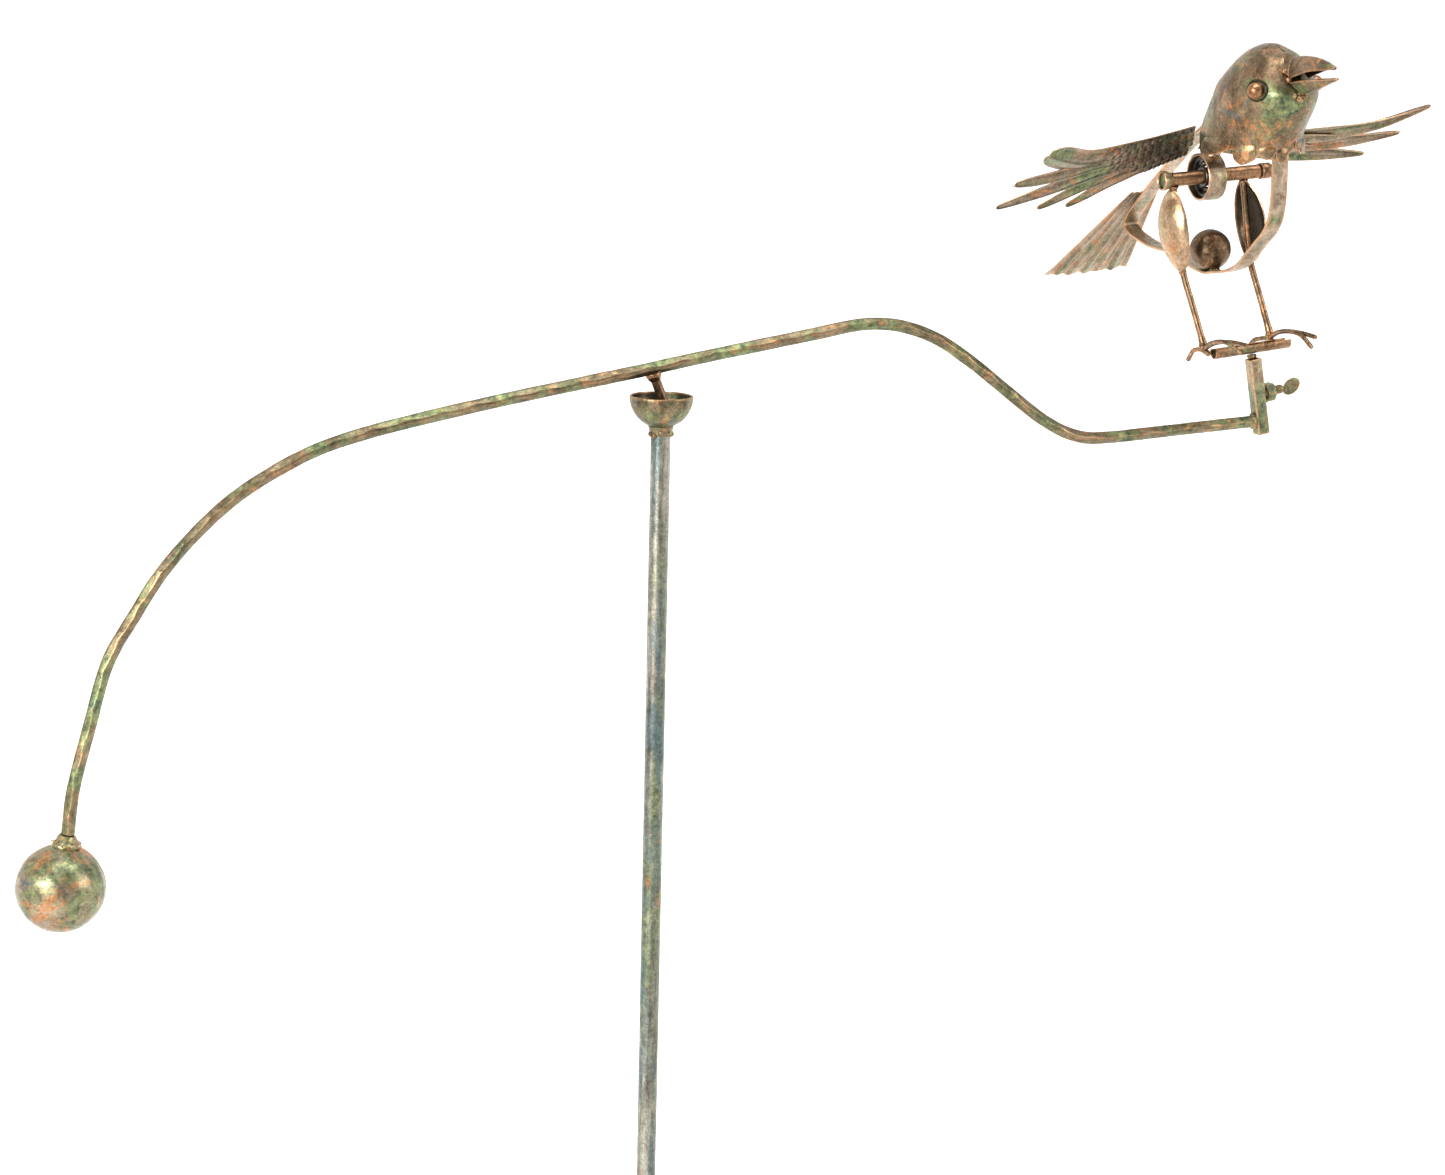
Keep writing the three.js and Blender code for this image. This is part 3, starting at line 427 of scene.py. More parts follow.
def blob(name, centre, size, slot, body, place=WORLD, seed=1.0, rough=0.22, wear=0.15):
    """A lumpy weld bead."""
    points, worn, rows, cols = [], [], 18, 26
    for i in range(rows + 1):
        for j in range(cols):
            unit = unit_vector(math.pi * i / rows, 2 * math.pi * j / cols)
            swell = 1 + rough * noise.noise(unit * 2.1 + Vector((seed, seed, -seed)))
            swell += 0.5 * rough * noise.noise(unit * 5.0 + Vector((seed, -seed, seed)))
            points.append(Vector(centre) + Vector([u * s * swell for u, s in zip(unit, size)]))
            worn.append(wear)
    faces = grid_faces(rows + 1, cols, True)
    piece(name, points, faces, slot, body, place, (), worn)


# Stake -------------------------------------------------------------------------------------------

POLE_R = 7.0
POLE_WALL = 1.5
CUP_R = 22.5
CUP_WALL = 1.5
CUP_Z = 1217.5


def tube_profile(outer, inner, low, high):
    """An upright tube with bevelled ends."""
    bevel = 0.35
    return [[inner, low, 0.2], [outer - bevel, low, 0.8], [outer, low + bevel, 0.6], [outer, low + 3],
            [outer, high - 3], [outer, high - bevel, 0.6], [outer - bevel, high, 0.8], [inner, high, 0.2],
            [inner, low, 0.2]]


def build_stake():
    inner = POLE_R - POLE_WALL
    for name in ("lower_pole", "upper_pole"):
        low, high = (corner.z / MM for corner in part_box(name))
        turned(name + "_look", tube_profile(POLE_R, inner, low, high), "pole", "stake", replaces=[name])
    rings = 40

    def arc(radius, i):
        angle = i / rings * math.pi / 2
        return [radius * math.sin(angle), CUP_Z - radius * math.cos(angle)]

    bowl = [arc(CUP_R, i) + [0.5 * smooth(i, rings - 2, rings)] for i in range(rings + 1)]
    bowl += [[CUP_R - 0.2, CUP_Z + 0.3, 0.6], [CUP_R - CUP_WALL / 2, CUP_Z + 0.5, 0.7],
             [CUP_R - 1.3, CUP_Z + 0.3, 0.6]]
    # The bowl's inside is darkened: painted shade in its hollow.
    bowl += [arc(CUP_R - CUP_WALL, i) + [smooth(i, rings - 2, rings), 0.7] for i in range(rings, -1, -1)]
    turned("pivot_cup_look", bowl, "cup", "stake", replaces=["pivot_cup"], segments=96, rough=0.25)
    z = CUP_Z - CUP_R
    weld = [[7.2, z - 5.4], [7.7, z - 4.8], [8.0, z - 3.0], [8.3, z - 1.2], [8.9, z + 0.6], [9.0, z + 1.6],
            [8.2, z + 1.2], [7.2, z + 0.6], [7.2, z - 5.4]]
    turned("cup_weld_look", weld, "cup", "stake", replaces=["cup_weld"], segments=90, rough=0.5, wear=0.1)
    for k, degrees in enumerate((185, 215, 250, 300, 350, 60)):
        angle = math.radians(degrees)
        at = (7.7 * math.cos(angle), 7.7 * math.sin(angle), z - 3.4 + 1.4 * math.sin(3 * angle))
        blob(f"cup_weld_drop_{k}", at, (1.6, 1.6, 2.0), "cup", "stake", seed=k * 1.3, rough=0.35)


# Arm ---------------------------------------------------------------------------------------------

ARM_LINE = [
    (-415.4, 933), (-411.5, 962), (-400, 1005), (-386.5, 1050), (-370, 1078), (-351, 1107),
    (-328, 1133), (-302, 1156), (-274, 1173.5), (-246, 1187), (-216, 1196.5), (-177, 1205.5),
    (-117, 1217.5), (-56, 1228.5), (-19, 1235), (26, 1243.5), (74, 1252), (111.5, 1258.5),
    (149, 1265), (169, 1265.2), (187.5, 1262), (211.5, 1253), (238.5, 1236), (267.5, 1214.5),
    (296.5, 1193.5), (317.5, 1182.5), (334.5, 1178), (355, 1177.8), (387, 1180), (429, 1183),
    (464, 1185.5), (476.2, 1186.3),
]
ARM_STEPS = 760
ARM_R = 4.5
FLAT_LENGTH = 25.0
FLAT_DEPTH = 0.85


def build_arm():
    path = curve_through([(x, 0, z) for x, z in ARM_LINE], ARM_STEPS)
    step = (path[1] - path[0]).length
    length = step * ARM_STEPS

    def radius(i, angle):
        distance = i * step
        wander = 0.06 * math.sin(distance * 0.11) + 0.05 * math.sin(distance * 0.047 + 1)
        r = ARM_R + wander + lumps((distance, 2 * math.cos(angle), 2 * math.sin(angle)), 6, 0.10)
        for side in range(4):
            turn = (angle - math.radians(45) - side * math.pi / 2 + math.pi) % (2 * math.pi) - math.pi
            if abs(turn) > 1.2:
                continue
            beat = distance / FLAT_LENGTH + 0.5 * (side % 2) + 0.04 * math.sin(distance * 0.09 + side)
            depth = FLAT_DEPTH * math.sin(math.pi * (beat % 1.0)) ** 0.8
            r = min(r, (ARM_R - depth) / math.cos(turn))
        return r + 1.15 * smooth(distance, length - 4.5, length)

    def high_spots(i, angle, r):
        return 0.55 * smooth(r, ARM_R - 0.10, ARM_R + 0.10)

    sweep("balance_arm_look", path, radius, 32, "arm", "arm", replaces=["balance_arm"], edge=high_spots)
    for k, (x, z) in enumerate(((474.6, 1191.0), (475.6, 1181.6))):
        blob(f"arm_weld_{k}", (x, 0, z), (1.4, 3.6, 1.5), "clamp", "arm", seed=k + 0.4)
    for k, y in enumerate((-4.4, 4.4)):
        blob(f"arm_weld_side_{k}", (475.2, y, 1186.2), (1.3, 1.2, 3.4), "clamp", "arm", seed=k + 5.2)


TIP = (7, 0, 1200.7)
PIN_LEAN = (-0.3795, 0, 0.9252)


def build_pin():
    lean = frame_from(TIP, PIN_LEAN)
    shaft = [[0, 2.9], [1.5, 2.9], [1.9, 3.3, 0.6], [3.3, 7.0, 0.5], [3.5, 8.0, 0.2], [3.5, 12], [3.5, 20],
             [3.5, 29.5], [3.9, 30.6], [4.6, 31.6, 0.4], [5.4, 33.2, 0.3], [5.8, 35.0, 0.2], [5.3, 36.2],
             [0, 36.6]]
    turned("pivot_pin_look", shaft, "leg", "arm", lean, ["pivot_pin"], 72, rough=0.28)
    turned("pivot_tip_look", sphere(2.5, 20), "steel", "pivot", Matrix.Translation(TIP), ["pivot_tip"], 40)


# Counterweight ball ------------------------------------------------------------------------------

BALL = Vector((-420.8, 0, 896))
BALL_R = 30.0
BALL_TILT = math.atan2(5, 34)
BALL_SEAM = math.radians(76)


def build_ball():
    place = Matrix.Translation(BALL) @ Matrix.Rotation(BALL_TILT, 4, "Y")
    for name, side in (("left", -1), ("right", 1)):
        def surface(s, t, side=side):
            polar = math.pi * (0.04 + 0.958 * s)
            angle = BALL_SEAM + math.pi * (t - 0.5 if side > 0 else t + 0.5)
            near_seam = min(t, 1 - t)
            r = BALL_R - 0.8 - 0.45 * (1 - smooth(near_seam, 0, 0.018))
            unit = unit_vector(polar, angle).normalized()
            r += lumps(unit * 30, 14, 0.35) + lumps(unit * 30, 5, 0.08)
            return unit * r

        sheet(f"ball_shell_{name}_look", surface, 1.4, 72, 64, "ball", "arm", place,
              [f"ball_shell_{name}"], 1.1)
    room = BALL_R - 0.6
    seat = [[r, math.sqrt(room * room - r * r)] for r in (0, 3.5, 7, 9.3)]
    collar = seat + [[9.9, 29.2], [9.6, 30.4, 0.3], [8.6, 31.4, 0.3], [7.4, 32.2], [6.9, 33.6],
                     [6.4, 34.6, 0.4], [5.9, 35.6], [5.3, 36.6], [0, 36.9]]
    turned("ball_neck_look", collar, "ball", "arm", place, ["ball_neck"], 96, rough=1.5, seed=3.3)
    for k, angle in enumerate(around(9, 0.2)):
        at = (8.2 * math.cos(angle), 8.2 * math.sin(angle), 30.4 + 0.6 * math.sin(5 * angle))
        blob(f"ball_neck_drop_{k}", at, (2.1, 2.1, 1.5), "ball", "arm", place, seed=k * 0.9 + 2, rough=0.4)


# Clamp -------------------------------------------------------------------------------------------

TUBE_HALF = 5.0
TUBE_BORE = 3.8
TUBE_TOP = -2.2
TUBE_FOOT = -60.2
CORNER_POINTS = 7
SCREW_Z = -30.0
SCREW_R = 3.5
THREAD_PITCH = 1.25
NUT_HALF = 6.5
NUT_NEAR = 6.8
NUT_FAR = 13.3


def square_ring(half, radius, z):
    """A square outline with rounded corners."""
    ring = []
    for corner in range(4):
        cx = (half - radius) * (1 if corner in (0, 3) else -1)
        cy = (half - radius) * (1 if corner in (0, 1) else -1)
        for k in range(CORNER_POINTS):
            angle = math.pi / 2 * (corner + k / (CORNER_POINTS - 1))
            ring.append((cx + radius * math.cos(angle), cy + radius * math.sin(angle), z))
    return ring


def build_clamp():
    rings, worn = [], []
    levels = [(TUBE_HALF - 0.35, 1.2, 0.0, 0.9), (TUBE_HALF, 1.5, 0.35, 0.6), (TUBE_HALF, 1.5, 2.5, 0.0)]
    outer = [(h, r, TUBE_FOOT + dz, w) for h, r, dz, w in levels]
    outer += [(h, r, TUBE_TOP - dz, w) for h, r, dz, w in reversed(levels)]
    shape = outer + [(TUBE_BORE + 0.15, 0.6, TUBE_TOP, 0.7), (TUBE_BORE, 0.5, TUBE_TOP - 0.3, 0.3)]
    shape += [(TUBE_BORE, 0.5, TUBE_FOOT + 0.3, 0.3), (TUBE_BORE + 0.15, 0.6, TUBE_FOOT, 0.7), outer[0]]
    for half, radius, z, wear in shape:
        ring = square_ring(half, radius, z)
        rings += ring
        for k in range(len(ring)):
            rounded = 0 < k % CORNER_POINTS < CORNER_POINTS - 1
            worn.append(max(wear, 0.75 if rounded and half == TUBE_HALF else 0))
    faces = grid_faces(len(shape), 4 * CORNER_POINTS, True)
    piece("clamp_tube_look", rings, faces, "clamp", "arm", PERCH, ["clamp_tube"], worn, 35)

    across = PERCH @ Matrix.Translation((0, 0, SCREW_Z)) @ Matrix.Rotation(math.pi / 2, 4, "Y")
    corner = NUT_HALF / math.cos(math.pi / 6)
    bore = SCREW_R + 0.25
    nut, worn, sides = [], [], 48
    levels = [(0.86, NUT_NEAR), (0.97, 7.3), (1.0, 8.0), (1.0, 12.1), (0.97, 12.8), (0.86, NUT_FAR)]
    for share, z in levels:
        for angle in around(sides):
            flat = NUT_HALF / math.cos((angle + math.pi / 6) % (math.pi / 3) - math.pi / 6)
            r = min(flat, corner * share)
            nut.append((r * math.cos(angle), r * math.sin(angle), z))
            worn.append(0.8 if r > 7.1 else (0.35 if share < 0.9 else 0.0))
    for z in (NUT_FAR, NUT_NEAR):
        for angle in around(sides):
            nut.append((bore * math.cos(angle), bore * math.sin(angle), z))
            worn.append(0.2)
    faces = grid_faces(len(levels) + 2, sides, True)
    last = (len(levels) + 1) * sides
    faces += [(last + k, last + (k + 1) % sides, (k + 1) % sides, k) for k in range(sides)]
    piece("clamp_nut_look", nut, faces, "clamp", "arm", across, ["clamp_nut"], worn, 30)
    for k, angle in enumerate(around(8, 0.3)):
        at = (6.3 * math.cos(angle), 6.0 * math.sin(angle), 6.2)
        if abs(at[1]) < 4.6:
            blob(f"nut_weld_{k}", at, (1.5, 1.5, 1.2), "clamp", "arm", across, seed=k * 1.7, rough=0.4)

    thread = [[0, 1.8], [2.4, 1.8], [3.0, 2.4]]
    z = 3.0
    while z < 20.3:
        thread += [[SCREW_R - 0.45, z, 0.0], [SCREW_R, z + 0.55, 0.5], [SCREW_R, z + 0.7, 0.5]]
        z += THREAD_PITCH
    thread += [[SCREW_R - 0.4, 21.3], [0, 21.5]]
    turned("clamp_screw_shank_look", thread, "screw", "screw", across, ["clamp_screw_shank"], 48)
    build_screw_wing()


def build_screw_wing():
    """The shank's end, hammered out flat into an oval."""
    place = PERCH @ Matrix.Translation((29.6, 0, SCREW_Z)) @ Matrix.Rotation(math.radians(-26), 4, "Y")
    points, worn, rows, cols = [], [], 22, 64
    for i in range(rows + 1):
        latitude = -math.pi / 2 + math.pi * i / rows
        share = abs(math.cos(latitude)) ** 0.45
        height = math.copysign(abs(math.sin(latitude)) ** 0.8, latitude) * 1.45
        for j in range(cols):
            angle = 2 * math.pi * j / cols
            waist = 1 - 0.10 * math.exp(-(((angle - math.pi) / 0.5) ** 2))
            x = 8.1 * share * math.cos(angle)
            z = 5.7 * share * math.sin(angle) * waist
            dish = 1 - 0.35 * (1 - share**2)
            points.append((x, height * dish + lumps((x, 0, z), 4, 0.15), z))
            worn.append(0.9 * smooth(share, 0.93, 1.0))
    faces = grid_faces(rows + 1, cols, True)
    piece("clamp_screw_wing_look", points, faces, "screw", "screw_wing", place, ["clamp_screw_wing"], worn)


# Perch -------------------------------------------------------------------------------------------

LEGS = {"left": [(-33.5, 13, 15.7), (-36.8, 25, 69.6), (-36.6, 25, 133.6)],
        "right": [(23.5, 13, 12.8), (21, 25, 65.5), (22.3, 25, 127.4)]}
FEET = {
    "left": [
        [(-17.5, 12, -128.2), (-18, 25, -121.6), (-17.9, 47, -118.3), (-16.5, 54, -121), (-14, 61, -125.2)],
        [(-17.5, 12, -128.2), (-14.5, 25, -121.8), (-10.8, 43, -119.5), (-7.1, 59, -120.4)],
        [(-17.5, 12, -128.2), (-18.5, 5, -128.6), (-19.4, 0.5, -130), (-22.4, -3, -137.6)],
        [(-17.5, 12, -128.2), (-16, 18.4, -130.8)]],
    "right": [
        [(39.5, 12, -125.2), (40, 25, -119.2), (40.9, 54, -117.8), (43.1, 67, -126.4)],
        [(39.5, 12, -125.2), (42, 25, -119), (43.5, 50, -117.2), (45.3, 69, -118.5)],
        [(39.5, 12, -125.2), (37.2, 4, -126.2), (35.4, -5, -129), (34.1, -9, -135.3)],
        [(39.5, 12, -125.2), (40, 18.4, -128.6)]],
}


def build_perch():
    post = [[0, -52], [1.9, -52], [2.3, -51.6, 0.5], [2.5, -51.0, 0.4], [2.5, -40], [2.5, -20], [2.5, -2.6],
            [2.6, -2.0], [3.1, -1.2, 0.3], [3.6, -0.5, 0.3], [3.9, 0.4], [3.3, 1.2], [0, 1.4]]
    place = PERCH @ Matrix.Translation((-1, 0, 0))
    turned("perch_post_look", post, "leg", "post", place, ["perch_post"], 64, rough=0.4)
    build_perch_bar()
    for name, (ankle, knee, top) in LEGS.items():
        build_leg(name, -1 if name == "left" else 1, Vector(ankle), Vector(knee), Vector(top))
        build_foot(name, FEET[name])
    build_axle()


def build_perch_bar():
    """Half of a tube, lying open side up."""
    place = PERCH @ Matrix.Translation((-1.2, 0, 2.1)) @ Matrix.Rotation(math.radians(4.2), 4, "Y")
    outer, inner, rim = 4.9, 3.7, 7.2
    steps, arc, half = 64, 20, 32
    outline = []
    for k in range(arc + 1):
        angle = math.pi * (1 + k / arc)
        outline.append((outer * math.cos(angle), outer + outer * math.sin(angle), 0.0))
    lip = [(outer, rim - 0.3, 0.6), (outer - 0.3, rim, 1.0), (inner + 0.3, rim, 1.0), (inner, rim - 0.3, 0.6)]
    outline += lip
    for k in range(arc + 1):
        angle = math.pi * (2 - k / arc)
        outline.append((inner * math.cos(angle), outer + inner * math.sin(angle), 0.0))
    outline += [(-y, z, wear) for y, z, wear in reversed(lip)]
    points, worn, black = [], [], []
    for x in np.linspace(-half, half, steps + 1):
        end = smooth(abs(x), half - 0.8, half)
        for y, z, wear in outline:
            wave = lumps((x, y, z), 9, 0.22)
            points.append((x, y + wave, z * (1 - 0.02 * end)))
            worn.append(max(wear, 0.9 * smooth(abs(x), half - 1.5, half)))
            # The channel's inside is darkened: painted shade.
            black.append(0.85 if math.hypot(y, z - outer) < inner + 0.2 and z < rim - 0.4 else 0)
    count = len(outline)
    faces = grid_faces(steps + 1, count, True)
    for row in (0, steps):  # the cut ends, between the outside and the inside
        for k in range(arc + len(lip)):
            a, b = row * count + k, row * count + k + 1
            c, d = row * count + count - 5 - k, row * count + (count - 4 - k) % count
            faces.append((a, b, c, d) if row else (d, c, b, a))
    piece("perch_bar_look", points, faces, "leg", "perch", place, ["perch_bar"], worn, 45, black)


THIGH_TURN = math.radians(14)


def build_leg(name, side, ankle, knee, top):
    foot = ankle - (knee - ankle).normalized() * 4.2
    bend = [knee - Vector((0, 0.6, 3)), knee + Vector((0, 0, 4))]
    path = curve_through([foot, ankle.lerp(knee, 0.5), *bend, top], 120)

    def radius(i, angle):
        swell = 0.5 * math.exp(-(((path[i] - ankle).length / 3.5) ** 2))
        uneven = lumps(path[i] * 0.6 + Vector((angle, 0, 0)), 4, 0.12)
        return 2.5 * rounded_ends(path, i, 1.5) + swell + uneven

    sweep(f"shank_{name}_look", path, radius, 28, "leg", "perch", PERCH, [f"shank_{name}"])
    middle = (knee.z + top.z) / 2
    cos, sin = math.cos(THIGH_TURN), math.sin(THIGH_TURN)

    def leaf(s, t):
        along, over = 2 * s - 1, 2 * t - 1
        half = 1.2 + 14.6 * max(0.0, 1 - along * along) ** 0.62
        depth = 10 * (1 - along * along) * math.sqrt(max(0.0, 1 - 0.9 * over * over))
        ends = 2.4 * smooth(abs(along), 0.72, 1.0) * (1 - over * over)
        dent = lumps((over * 12, along * 30, 0), 9, 0.3, side)
        out, back = side * (1 + depth + ends + dent), over * half
        return Vector((knee.x + out * cos - back * sin, knee.y + out * sin + back * cos, middle + along * 31))

    # The hollow inner face of each thigh is nearly black: painted shade.
    sheet(f"thigh_{name}_look", leaf, 0.9, 64, 40, "thigh", "perch", PERCH, [f"thigh_{name}"], 1.6,
          shade_and_soot=(0.0, 0.95) if side < 0 else (0.95, 0.0))
    for kind, at, size, seed, rough in (
            ("thigh", knee + Vector((side * 0.5, 0, 1.2)), (3.0, 3.0, 3.2), side + 3, 0.22),
            ("axle", top - Vector((0, 0, 0.4)), (3.4, 3.4, 1.8), side + 7, 0.35)):
        blob(f"{kind}_weld_{name}", at, size, "leg", "perch", PERCH, seed, rough)


def build_foot(name, toes):
    for k, toe in enumerate(toes):
        path = curve_through([bird(*p) for p in toe], 46 if len(toe) > 2 else 12)
        thick = 2.2 if len(toe) == 2 else 1.75

        def radius(i, angle, path=path, thick=thick):
            share = i / (len(path) - 1)
            claw = 1 - 0.12 * smooth(share, 0.97, 1.0)
            uneven = lumps(path[i] + Vector((angle, 0, 0)), 3, 0.08)
            return thick * claw * (1 + 0.03 * math.sin(i * 1.9)) + uneven

        old = [f"foot_{name}"] if k == 0 else ()
        sweep(f"toe_{name}_{k}", path, radius, 18, "leg", "perch", BIRD, old)
    heel = bird(*toes[0][0]) + Vector((0, 0, 2.2))
    blob(f"heel_weld_{name}", heel, (3.1, 3.1, 3.6), "leg", "perch", BIRD, len(name), 0.3)


# Axle and bearing --------------------------------------------------------------------------------

ALONG_AXLE = BIRD @ Matrix.Rotation(math.pi / 2, 4, "Y")
RIB_PITCH = 1.1
BALL_RING_R = 10


def build_axle():
    ribs = [[0, -35], [4.7, -35]]
    x = -34.4
    while x < 39.2:
        ribs += [[4.95, x, 0.15], [5.25, x + 0.35, 0.75], [5.25, x + 0.6, 0.75], [4.95, x + 0.95, 0.15]]
        x += RIB_PITCH
    ribs += [[4.7, 40], [0, 40]]
    turned("axle_rod_look", ribs, "axle", "perch", ALONG_AXLE, ["axle_rod"], 56, sharp=70)
    # The groove round the rod's end is darkened: painted shade.
    cap = [[0, -41.0], [3.0, -41.1], [4.8, -41.0], [5.2, -41.0, 0, 0.85], [5.5, -41.4, 0, 0.8],
           [5.9, -42.6, 0.9], [6.4, -43, 1.0], [7.1, -42.9, 1.0], [7.5, -42.3, 0.9], [7.3, -40.4, 0.3],
           [6.8, -38.6, 0.2], [6.2, -37.4, 0.3], [5.6, -36.3, 0.3], [5.3, -35.3], [0, -35.3]]
    turned("axle_cap_look", cap, "clamp", "perch", ALONG_AXLE, ["axle_cap"], 64, rough=0.45)
    collar = [[0, 40.3], [5.4, 40.3], [6.0, 40.7, 0.6], [6.0, 41.8], [5.6, 42.2], [5.6, 43.2],
              [6.0, 43.8, 0.5], [6.0, 48.2], [5.5, 48.9, 0.9], [4.6, 49.0, 0.8], [4.2, 48.2], [0, 48.0]]
    turned("axle_collar_look", collar, "axle", "perch", ALONG_AXLE, ["axle_collar"], 64, rough=0.35)
    race = [[5.6, -8.5], [7.0, -8.5], [7.3, -8.2, 0.4], [7.3, -6.2], [6.9, -4.5], [7.3, -2.8],
            [7.3, -0.8, 0.4], [7.0, -0.5], [5.6, -0.5], [5.6, -8.5]]
    turned("bearing_inner_race_look", race, "bearing", "perch", ALONG_AXLE, ["bearing_inner_race"], 64)


def build_bearing():
    cage = [[9.4, -5.4], [10.6, -5.4], [10.8, -5.0], [10.8, -4.0], [10.6, -3.6], [9.4, -3.6],
            [9.2, -4.0], [9.2, -5.0], [9.4, -5.4]]
    turned("bearing_cage_ring", cage, "bearing", "cage", ALONG_AXLE, ["bearing_cage"], 80)
    for k, angle in enumerate(around(9)):
        at = (BALL_RING_R * math.cos(angle), BALL_RING_R * math.sin(angle), -4.5)
        place = ALONG_AXLE @ Matrix.Translation(at)
        turned(f"bearing_ball_{k}", sphere(2.3, 18), "bearing", "cage", place, segments=28)
    race = [[12.9, -8.5], [15.4, -8.5], [15.6, -8.2], [15.6, -0.8], [15.4, -0.5], [12.9, -0.5], [12.7, -0.8],
            [12.7, -2.6], [13.0, -4.5], [12.7, -6.4], [12.7, -8.2], [12.9, -8.5]]
    turned("bearing_outer_race_look", race, "bearing", "bird", ALONG_AXLE, ["bearing_outer_race"], 80)
    # The housing's bore is darkened: painted shade.
    ring = [[15.95, -11.6, 0.4], [16.3, -12.0, 0.9], [17.3, -12.0, 1.0], [17.75, -11.6, 0.9],
            [17.75, -10.4, 0.1], [17.75, -4.5], [17.75, 1.4, 0.1], [17.75, 2.6, 0.9], [17.3, 3.0, 1.0],
            [16.3, 3.0, 0.9], [15.95, 2.6, 0.4, 0.5], [15.95, -4.5, 0, 0.9], [15.95, -11.6, 0.4, 0.5]]
    turned("bearing_housing_look", ring, "strap", "bird", ALONG_AXLE, ["bearing_housing"], 96, rough=0.3)
    welds = ((-4.0, 8.0, 17.0, 3.4), (-7.5, 5.5, 18.0, 2.4), (-1.0, 10.5, 17.6, 2.6), (-4.5, 12.0, 19.0, 2.6))
    for k, (lateral, forward, up, size) in enumerate(welds):
        blob(f"housing_weld_{k}", bird(lateral, forward, up), (size, size, 0.8 * size), "strap", "bird", BIRD,
             k + 0.7, 0.35, 0.3)


# Strap -------------------------------------------------------------------------------------------

STRAP_LINE = [
    (98.4, 24), (97.2, 13), (96.5, 4), (94, -13), (89.5, -26), (82, -35), (72.5, -42), (57.5, -52.5),
    (46.5, -60.5), (36, -65.5), (20, -69.5), (5, -71.5), (-5, -72.6), (-28, -69.6), (-57, -62.5),
    (-94, -59.4), (-112, -55.5), (-124, -51.5), (-129.5, -46.5), (-127, -41), (-101, -21.5),
    (-60, 5), (-20, 28.4), (-5, 36), (4, 41),
]


def build_strap():
    path = curve_through([bird(0, f, u) for f, u in STRAP_LINE], 260)
    half_width, half_thick, rim = 6.5, 1.0, 0.45
    section = []
    for cx, cy, start in ((1, 1, 0), (-1, 1, 90), (-1, -1, 180), (1, -1, 270)):
        for k in range(5):
            angle = math.radians(start + 22.5 * k)
            section.append((cx * (half_width - rim) + rim * math.cos(angle),
                            cy * (half_thick - rim) + rim * math.sin(angle), 1.0))
        if start in (0, 180):
            for share in (0.85, 0.6, 0.0, -0.6, -0.85):
                section.append((cx * share * half_width, cy * half_thick, 0.55 if abs(share) > 0.8 else 0.0))
    points, worn = [], []
    for i, here in enumerate(path):
        along = (path[min(i + 1, len(path) - 1)] - path[max(i - 1, 0)]).normalized()
        out = Vector((1, 0, 0)).cross(along).normalized()
        crown = lumps((i * 0.35, 0, 0), 6, 0.5)
        for x, y, wear in section:
            bulge = 0.12 * (1 - (x / half_width) ** 2)
            uneven = lumps((x, i * 0.6, 0), 8, 0.25)
            points.append(here + Vector((x + crown * 0.3, 0, 0)) + out * (y * (1 + bulge)) + out * uneven)
            worn.append(max(wear, 0.8 if i < 2 or i > len(path) - 3 else 0))
    count = len(section)
    faces = grid_faces(len(path), count, True)
    last = (len(path) - 1) * count
    faces += [tuple(range(count - 1, -1, -1)), tuple(last + k for k in range(count))]
    piece("body_strap_look", points, faces, "strap", "bird", BIRD, ["body_strap"], worn, 50)

    place = BIRD @ Matrix.Translation(bird(0, -5, -55.8))
    turned("strap_weight_look", sphere(15.5, 64), "weight", "bird", place, ["strap_weight"], 96, rough=0.12)
    welds = ((-2.0, 1.5), (2.5, 0.5), (0.5, -14.0), (-3.0, -12.0), (3.2, -6.0))
    for k, (lateral, forward) in enumerate(welds):
        at = bird(lateral, forward, -70.6)
        blob(f"weight_weld_{k}", at, (2.2, 2.4, 1.3), "strap", "bird", BIRD, k + 1.1, 0.4)


# Head --------------------------------------------------------------------------------------------

HEAD = [
    [4, 56, 44.5, 31], [18, 57, 43.6, 33], [34, 58.8, 47.8, 32.3], [45, 65.4, 49.2, 32],
    [57, 74.4, 48.9, 32.9], [65, 79, 46.7, 32.3], [73, 81, 42.5, 30.3], [82, 83.6, 35, 25.4],
    [91, 85.6, 25.7, 18.1], [96, 84.8, 17, 11.2], [99, 86.3, 9, 4.8], [100, 87.8, 4.8, 0.3],
]
HEAD_EDGE = {
    "left": [
        [0, 16.5], [6, 17], [16, 20], [28, 22.5], [34, 19], [42, 16.5], [48, 15.5], [53, 17.5],
        [57, 25], [62, 26.5], [82, 23], [108, 20.5], [130, 22], [150, 24], [180, 24],
    ],
    "right": [
        [0, 16.5], [3, 18], [8, 22], [20, 25.5], [32, 23], [44, 20], [51, 24.5], [62, 26],
        [90, 24], [115, 22], [150, 24], [180, 24],
    ],
}


HEAD_TOP = 99.5


def head_point(side, degrees, up, out=0.0):
    centre, length, width = between(HEAD, up)
    angle = math.radians(degrees)
    return bird(side * (width + out) * math.sin(angle), centre + (length + out) * math.cos(angle), up)


